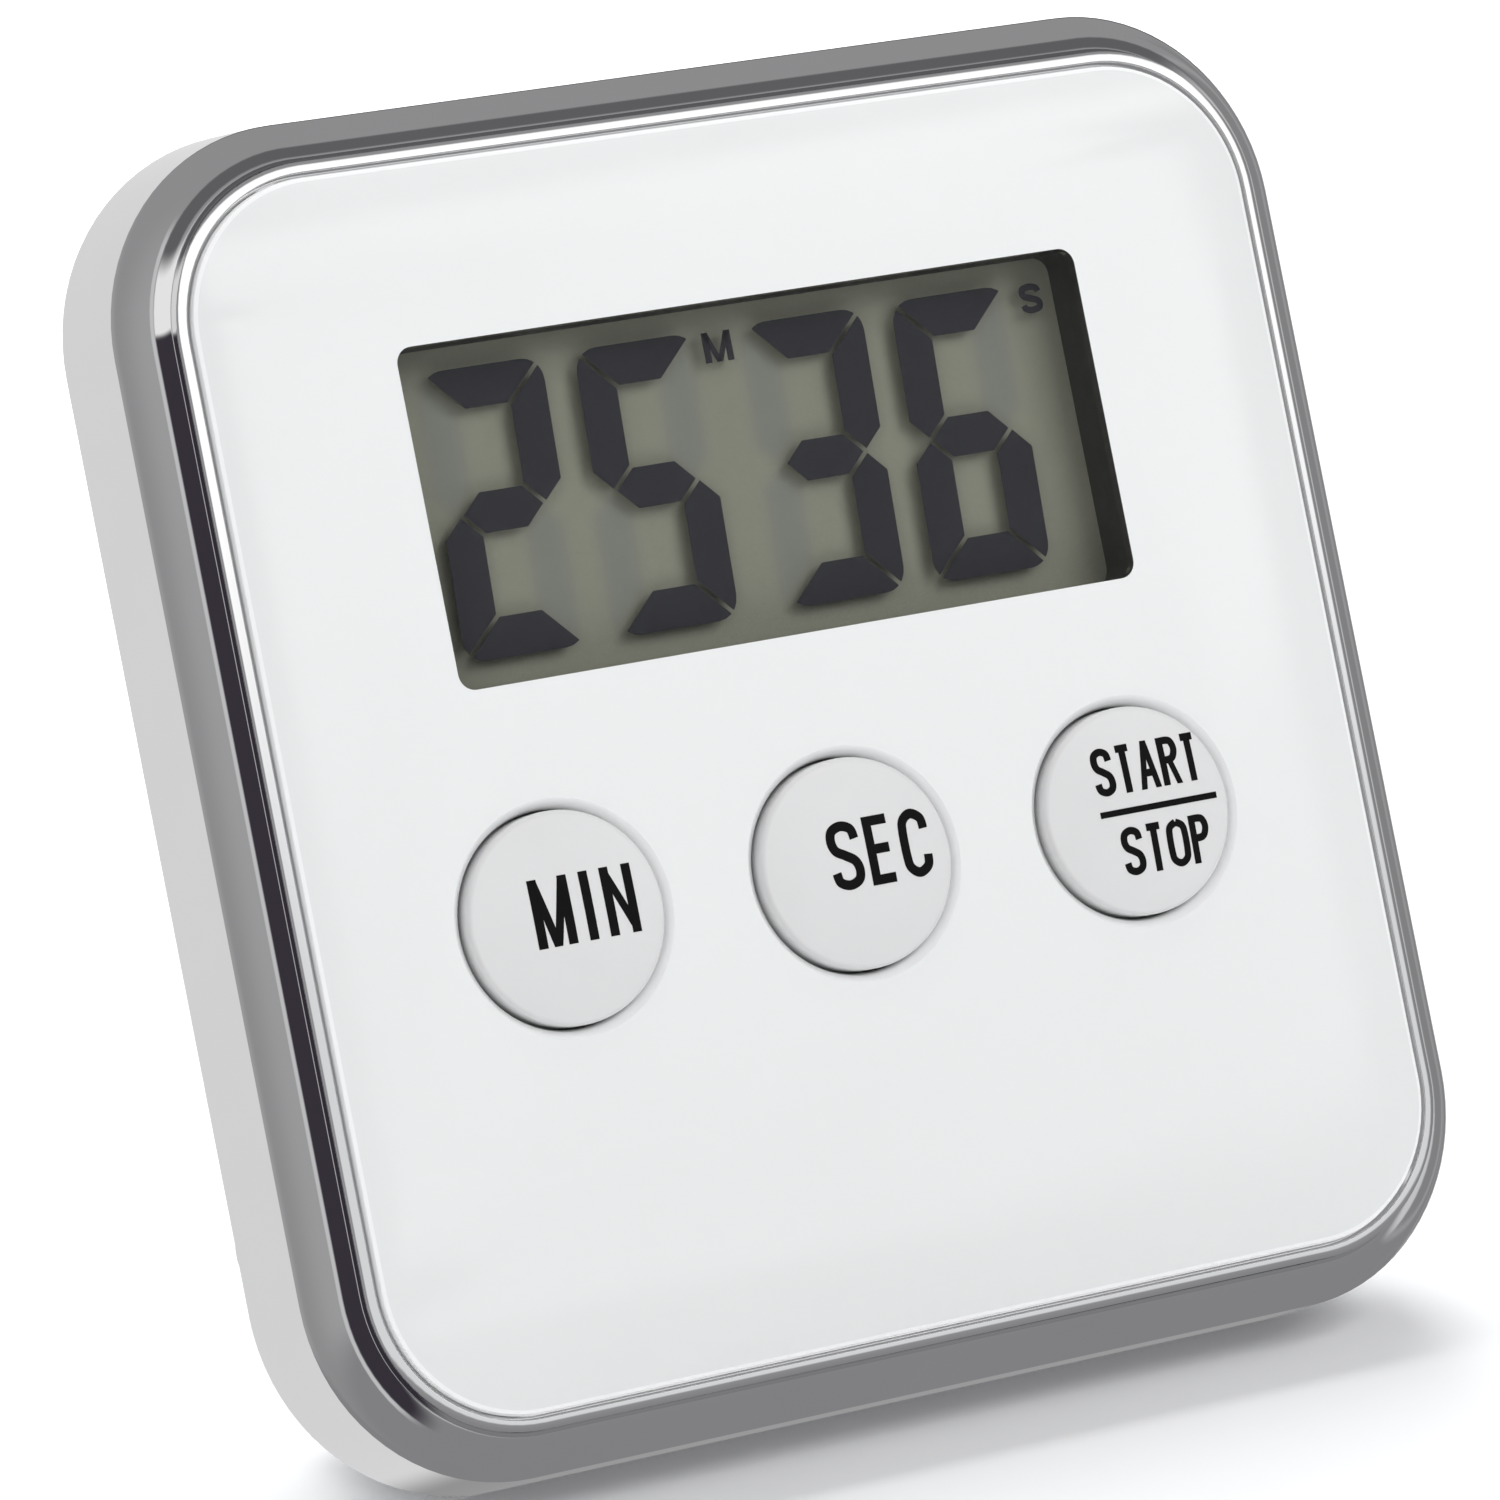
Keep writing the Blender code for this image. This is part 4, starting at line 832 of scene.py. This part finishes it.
def make_cover():
    """The moulded rear cover: rounded back, groove and pivots for the stand, recesses, vents and the bay."""
    floor = CASE_DEPTH - COVER_WALL
    taper = COVER_OFFSET / (floor - COVER_FRONT)
    section = [
        (-COVER_WALL, floor),
        (COVER_OFFSET - COVER_WALL - taper * MM, COVER_FRONT),
        (COVER_OFFSET, COVER_FRONT),
        (0.0, floor),
    ]
    for step in range(1, 9):
        angle = math.pi / 2 * step / 8
        section.append((-COVER_ROUND * (1 - math.cos(angle)), floor + COVER_ROUND * math.sin(angle)))
    inside = floor + 0.5 * MM
    cell = centre_of("battery")
    bay_low = Vector((BAY_LEFT, BAY_FRONT, cell.z - BAY_HALF_Z))
    bay_high = Vector((BAY_RIGHT, BAY_CEILING, cell.z + BAY_HALF_Z))
    wall = Vector((BAY_WALL, BAY_WALL, BAY_WALL))
    joined = [slab(bay_low - wall, (bay_high.x + BAY_WALL, inside, bay_high.z + BAY_WALL - 0.15 * MM))]
    joined.append(stand_band(GROOVE_HALF + GROOVE_WALL, GROOVE_FLOOR - GROOVE_WALL, inside))
    cuts = []
    buzzer = centre_of("buzzer_disc")
    place = (buzzer.x, buzzer.z)
    joined.append(disc(place, BUZZER_RADIUS + 1.2 * MM, buzzer.y - 1.15 * MM, inside))
    cuts.append(disc(place, BUZZER_RADIUS + 0.2 * MM, COVER_FRONT, buzzer.y + 0.35 * MM))
    cuts.append(disc(place, BUZZER_RADIUS - MM, buzzer.y, floor))
    cuts.append(disc(place, VENT_RADIUS, floor - MM, CASE_DEPTH + MM, 24))
    for number in range(6):
        angle = math.pi / 3 * number
        vent = (place[0] + VENT_RING * math.cos(angle), place[1] + VENT_RING * math.sin(angle))
        cuts.append(disc(vent, VENT_RADIUS, floor - MM, CASE_DEPTH + MM, 24))
    cuts.append(slab(bay_low, bay_high))
    door_low, door_high = upright_box("battery_door")
    gap = 0.2 * MM
    doorway_low = (door_low.x - gap, BAY_CEILING - MM, door_low.z - gap)
    cuts.append(slab(doorway_low, (door_high.x + gap, CASE_DEPTH + MM, door_high.z + gap)))
    cuts.append(stand_band(GROOVE_HALF, GROOVE_FLOOR, CASE_DEPTH + MM))
    for side in (-1, 1):
        ends = sorted((side * (PIVOT_TIP - 1.2 * MM), side * (LEG_X - GROOVE_HALF)))
        reach = WIRE_RADIUS + GROOVE_WALL
        block_low = (ends[0], GROOVE_FLOOR - 0.7 * MM, HINGE_Z - reach)
        joined.append(slab(block_low, (ends[1], inside, HINGE_Z + reach)))
        ends = sorted((side * (LEG_X - PIVOT_BEND - 0.3 * MM), side * LEG_X))
        pocket_low = (ends[0], GROOVE_FLOOR, HINGE_Z - PIVOT_BEND - 0.3 * MM)
        cuts.append(slab(pocket_low, (ends[1], CASE_DEPTH + MM, HINGE_Z + GROOVE_HALF - 0.2 * MM)))
        ends = sorted((side * (PIVOT_TIP - 0.3 * MM), side * LEG_X))
        cuts.append(cross_rod((HINGE_Y, HINGE_Z), WIRE_RADIUS + 0.1 * MM, *ends))
    for number in range(1, 5):
        low, high = upright_box(f"cover_screw_{number}")
        place = ((low.x + high.x) / 2, (low.z + high.z) / 2)
        joined.append(disc(place, SCREW_POST_RADIUS, SCREW_POST_FRONT, inside))
        cuts.append(disc(place, SCREW_RECESS, SCREW_SEAT, CASE_DEPTH + MM))
        cuts.append(disc(place, 1.1 * MM, SCREW_POST_FRONT - MM, SCREW_SEAT + MM, 24))
    for node in ("magnet_left", "magnet_right"):
        low, high = upright_box(node)
        place = ((low.x + high.x) / 2, (low.z + high.z) / 2)
        radius = (high.x - low.x) / 2
        joined.append(disc(place, radius + 1.2 * MM, low.y - 1.1 * MM, inside))
        cuts.append(disc(place, radius + 0.2 * MM, low.y - 0.2 * MM, CASE_DEPTH + MM, 64))
    made = combined(combined(section_solid(section), joined, "UNION"), cuts)
    piece("moulded_cover", made, ["cover"], "case", ["rear_cover"])


def make_door():
    """The battery door, its outer edges eased and a ribbed finger grip beside its latch recess."""
    low, high = upright_box("battery_door")
    middle = (low + high) / 2
    size = (high.x - low.x, high.z - low.z)
    edge = 0.12 * MM
    outer = rounded_rectangle((middle.x, middle.z), size, 0.35 * MM, 4)
    inner = rounded_rectangle((middle.x, middle.z), (size[0] - 2 * edge, size[1] - 2 * edge), 0.25 * MM, 4)
    form = bmesh.new()
    layers = [(inner, low.y), (outer, low.y + edge), (outer, high.y - edge), (inner, high.y)]
    loft(form, [[(x, depth, z) for x, z in points] for points, depth in layers])
    grip_low = (middle.x - 5 * MM, high.y - 0.45 * MM, high.z - 3.4 * MM)
    grip = slab(grip_low, (middle.x + 5 * MM, high.y + MM, high.z - 2.2 * MM))
    ribs = []
    for number in range(4):
        rib = high.z - 4.3 * MM - 0.9 * MM * number
        rib_low = (middle.x - 3.6 * MM, high.y - 0.15 * MM, rib)
        ribs.append(slab(rib_low, (middle.x + 3.6 * MM, high.y + MM, rib + 0.4 * MM)))
    piece("door_panel", combined(form, [grip, *ribs]), ["door"], "door", ["battery_door"])


def make_screws():
    """The four cover screws, with their cross recesses."""
    for number in range(1, 5):
        low, high = upright_box(f"cover_screw_{number}")
        place = ((low.x + high.x) / 2, (low.z + high.z) / 2)
        head = (high.x - low.x) / 2
        seat = high.y - SCREW_HEAD_THICK
        profile = [(AXIS_RADIUS, low.y), (0.3 * MM, low.y), (SCREW_SHANK, low.y + MM)]
        profile += [(SCREW_SHANK, seat), (head, seat)]
        for step in range(7):
            angle = math.pi / 2 * step / 6
            radius = head * (0.55 + 0.45 * math.cos(angle))
            profile.append((radius, seat + 0.6 * MM + 0.6 * MM * math.sin(angle)))
        profile.append((AXIS_RADIUS, high.y))
        arms = []
        for across, along in ((0.95 * MM, 0.2 * MM), (0.2 * MM, 0.95 * MM)):
            corner = Vector((place[0] - across, high.y - 0.7 * MM, place[1] - along))
            arms.append(slab(corner, (place[0] + across, high.y + MM, place[1] + along)))
        made = turned(bmesh.new(), place, profile, 40)
        for arm in arms:
            made = combined(made, [arm])
        piece(f"cross_screw_{number}", made, ["steel"], "case", [f"cover_screw_{number}"])


def make_magnets():
    """The two ferrite discs, their edges eased."""
    for side in ("left", "right"):
        low, high = upright_box(f"magnet_{side}")
        place = ((low.x + high.x) / 2, (low.z + high.z) / 2)
        radius = (high.x - low.x) / 2
        edge = 0.25 * MM
        profile = [(AXIS_RADIUS, low.y), (radius, low.y), (radius, high.y - edge)]
        profile += [(radius - edge * 0.3, high.y - edge * 0.3), (radius - edge, high.y)]
        profile.append((AXIS_RADIUS, high.y))
        made = turned(bmesh.new(), place, profile, 96)
        piece(f"ferrite_{side}", made, ["ferrite"], "case", [f"magnet_{side}"])


def make_stand():
    """The round wire stand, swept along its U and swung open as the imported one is."""
    hinge = DOWN @ Vector(JOINTS["stand_hinge"]["pos_m"])
    swing = -math.radians(JOINTS["stand_hinge"]["range_deg"][0])
    bend = (LEG_X - PIVOT_BEND, HINGE_Z - PIVOT_BEND)
    route = [(PIVOT_TIP, HINGE_Z), (LEG_X - PIVOT_BEND - 0.1 * MM, HINGE_Z)]
    for step in range(13):
        angle = math.pi / 2 * (1 - step / 12)
        route.append((bend[0] + PIVOT_BEND * math.cos(angle), bend[1] + PIVOT_BEND * math.sin(angle)))
    route += stand_path()[1:14]
    route += [(-x, z) for x, z in reversed(route)]
    rings = []
    for index, (x, z) in enumerate(route):
        before = Vector(route[max(0, index - 1)])
        after = Vector(route[min(len(route) - 1, index + 1)])
        run = (after - before).normalized()
        ring = []
        for step in range(WIRE_SIDES):
            angle = 2 * math.pi * step / WIRE_SIDES
            out = WIRE_RADIUS * math.cos(angle)
            ring.append((x + run.y * out, WIRE_RADIUS * math.sin(angle), z - HINGE_Z - run.x * out))
        rings.append(ring)
    form = bmesh.new()
    loft(form, rings)
    form.transform(Matrix.Translation(hinge) @ Matrix.Rotation(swing, 4, "X"))
    piece("stand_tube", form, ["wire"], "stand", ["wire_stand"], angle=50)


def dress_nodes():
    """Every CAD node that stays gets a material of its own."""
    looks = {
        "board_screw_": "steel",
        "lcd_frame": "plastic",
        "zebra_strip": "zebra",
        "keypad_mat": "rubber",
        "circuit_board": "board",
        "chip_resin": "resin",
        "quartz_crystal": "steel",
        "buzzer_coil": "ferrite",
        "capacitor": "ceramic",
        "buzzer_disc": "brass",
        "buzzer_ceramic": "ceramic",
        "battery_spring": "steel",
        "battery": "jacket",
        "contact_": "steel",
        "lead_positive": "red",
        "lead_negative": "black",
        "lead_buzzer_1": "red",
        "lead_buzzer_2": "black",
    }
    for name, node in frame["nodes"].items():
        found = [look for start, look in looks.items() if name.startswith(start)]
        if found:
            node.data.materials.clear()
            node.data.materials.append(LOOKS[found[0]])


# The studio.


def make_world():
    """A soft studio all round: grey in front, bright behind, a dark edge between, and one big softbox."""
    world = bpy.data.worlds.new("studio")
    bpy.context.scene.world = world
    world.use_nodes = True
    tree = world.node_tree
    background = tree.nodes["Background"]
    direction = tree.nodes.new("ShaderNodeTexCoord").outputs["Generated"]
    axes = {}
    for name, axis in (("side", (1, 0, 0)), ("depth", (0, 1, 0)), ("rise", (0, 0, 1))):
        node = tree.nodes.new("ShaderNodeVectorMath")
        node.operation = "DOT_PRODUCT"
        node.inputs[1].default_value = UPRIGHT.to_3x3() @ Vector(axis)
        tree.links.new(direction, node.inputs[0])
        axes[name] = node.outputs["Value"]

    def step_up(value, low, high):
        node = tree.nodes.new("ShaderNodeMapRange")
        node.interpolation_type = "SMOOTHSTEP"
        node.inputs["From Min"].default_value = low
        node.inputs["From Max"].default_value = high
        tree.links.new(value, node.inputs["Value"])
        return node.outputs["Result"]

    def times(*values):
        result = values[0]
        for value in values[1:]:
            node = tree.nodes.new("ShaderNodeMath")
            node.operation = "MULTIPLY"
            tree.links.new(result, node.inputs[0])
            tree.links.new(value, node.inputs[1])
            result = node.outputs[0]
        return result

    def towards(colour, factor, target):
        node = tree.nodes.new("ShaderNodeMix")
        node.data_type = "RGBA"
        node.inputs[7].default_value = (*target, 1)
        tree.links.new(factor, node.inputs[0])
        tree.links.new(colour, node.inputs[6])
        return node.outputs[2]

    grey = tree.nodes.new("ShaderNodeRGB")
    grey.outputs[0].default_value = (0.325, 0.325, 0.33, 1)
    side, depth, rise = axes["side"], axes["depth"], axes["rise"]
    softbox = times(
        step_up(side, 0.00, 0.06),
        step_up(side, 0.80, 0.70),
        step_up(rise, -0.22, -0.14),
        step_up(rise, 0.42, 0.34),
        step_up(depth, 0.0, -0.1),
    )
    left_front = step_up(side, -0.10, -0.95)
    below = step_up(rise, -0.15, -0.50)
    strip = times(step_up(depth, -0.34, -0.29), step_up(depth, -0.16, -0.20), step_up(side, -0.3, -0.6))
    right = times(step_up(side, 0.80, 0.88), step_up(depth, -0.50, -0.36))
    right_front = times(step_up(side, 0.70, 0.78), step_up(depth, -0.40, -0.48))
    dark_top = times(step_up(depth, -0.20, -0.12), step_up(depth, 0.46, 0.34), step_up(rise, 0.30, 0.60))
    left_cove = times(step_up(depth, -0.18, -0.12), step_up(depth, 0.77, 0.72), step_up(side, -0.20, -0.50))
    dark = times(left_cove, step_up(rise, 0.25, 0.19))
    glint = times(left_cove, step_up(rise, 0.19, 0.25), step_up(rise, 0.80, 0.62))
    back = step_up(depth, 0.50, 0.66)
    colour = towards(grey.outputs[0], left_front, (0.40, 0.40, 0.405))
    colour = towards(colour, below, (0.27, 0.27, 0.278))
    colour = towards(colour, softbox, (0.80, 0.81, 0.82))
    colour = towards(colour, times(softbox, step_up(rise, 0.00, 0.09)), (1.30, 1.30, 1.30))
    colour = towards(colour, strip, (0.62, 0.62, 0.63))
    colour = towards(colour, right_front, (0.27, 0.27, 0.275))
    colour = towards(colour, right, (0.66, 0.66, 0.67))
    colour = towards(colour, times(right, step_up(depth, 0.02, -0.10)), (0.27, 0.27, 0.275))
    colour = towards(colour, back, (0.785, 0.785, 0.79))
    low_back = times(back, step_up(rise, 0.00, -0.05), step_up(side, 0.1, 0.3))
    colour = towards(colour, low_back, (0.33, 0.33, 0.335))
    colour = towards(colour, dark_top, (0.135, 0.135, 0.14))
    colour = towards(colour, glint, (0.95, 0.95, 0.95))
    colour = towards(colour, dark, (0.045, 0.038, 0.05))
    seen = tree.nodes.new("ShaderNodeLightPath").outputs["Is Camera Ray"]
    tree.links.new(towards(colour, seen, (1.0, 1.0, 1.0)), background.inputs["Color"])


def soft_light(name, place, size, power):
    """A square lamp that lights the scene but has no mirror image; place is in the upright frame."""
    lamp = bpy.data.lights.new(name, "AREA")
    lamp.shape = "SQUARE"
    lamp.size = size
    lamp.energy = power
    holder = bpy.data.objects.new(name, lamp)
    bpy.context.scene.collection.objects.link(holder)
    aim = Vector(place).normalized()
    turn = aim.to_track_quat("Z", "Y").to_matrix().to_4x4()
    holder.matrix_world = UPRIGHT @ Matrix.Translation(place) @ turn
    holder.visible_glossy = False
    return holder


def make_floor():
    """A wide pale sheet under the timer."""
    form = bmesh.new()
    bmesh.ops.create_circle(form, cap_ends=True, segments=96, radius=3.0)
    mesh = bpy.data.meshes.new("floor")
    form.to_mesh(mesh)
    form.free()
    floor = bpy.data.objects.new("floor", mesh)
    bpy.context.scene.collection.objects.link(floor)
    made, tree, shader = new_material("pale_floor")
    set_values(shader, Roughness=0.9, Specular_IOR_Level=0.1)
    tint = blend_colours(tree, spread(tree, noise(tree, 3), 0, 1), (0.93, 0.935, 0.94), (0.95, 0.955, 0.96))
    tree.links.new(tint, shader.inputs["Base Color"])
    mesh.materials.append(made)
    floor.visible_glossy = False


def make_camera():
    camera = bpy.data.cameras.new("camera")
    camera.lens = CAMERA_LENS
    camera.sensor_width = 36
    camera.clip_start = 0.01
    holder = bpy.data.objects.new("camera", camera)
    bpy.context.scene.collection.objects.link(holder)
    forward = Vector((
        math.sin(CAMERA_YAW) * math.cos(CAMERA_PITCH),
        math.cos(CAMERA_YAW) * math.cos(CAMERA_PITCH),
        math.sin(CAMERA_PITCH),
    ))
    right = Vector((math.cos(CAMERA_YAW), -math.sin(CAMERA_YAW), 0))
    up = right.cross(forward)
    rolled_right = right * math.cos(CAMERA_ROLL) + up * math.sin(CAMERA_ROLL)
    rolled_up = up * math.cos(CAMERA_ROLL) - right * math.sin(CAMERA_ROLL)
    turn = Matrix((rolled_right, rolled_up, -forward)).transposed().to_4x4()
    place = CAMERA_AIM - forward * CAMERA_DISTANCE
    holder.matrix_world = UPRIGHT @ Matrix.Translation(place) @ turn
    bpy.context.scene.camera = holder


def main():
    make_surround()
    make_face()
    make_window()
    make_display()
    make_buttons()
    make_cover()
    make_door()
    make_screws()
    make_magnets()
    make_stand()
    dress_nodes()
    make_world()
    make_floor()
    make_camera()
    soft_light("key", (0.30, -0.50, 0.32), 0.35, 1.45)
    soft_light("fill", (-0.40, -0.45, 0.15), 0.40, 0.6)
    soft_light("top", (0.0, 0.15, 0.60), 0.60, 5.5)
    bpy.context.scene.view_settings.view_transform = "Standard"


main()
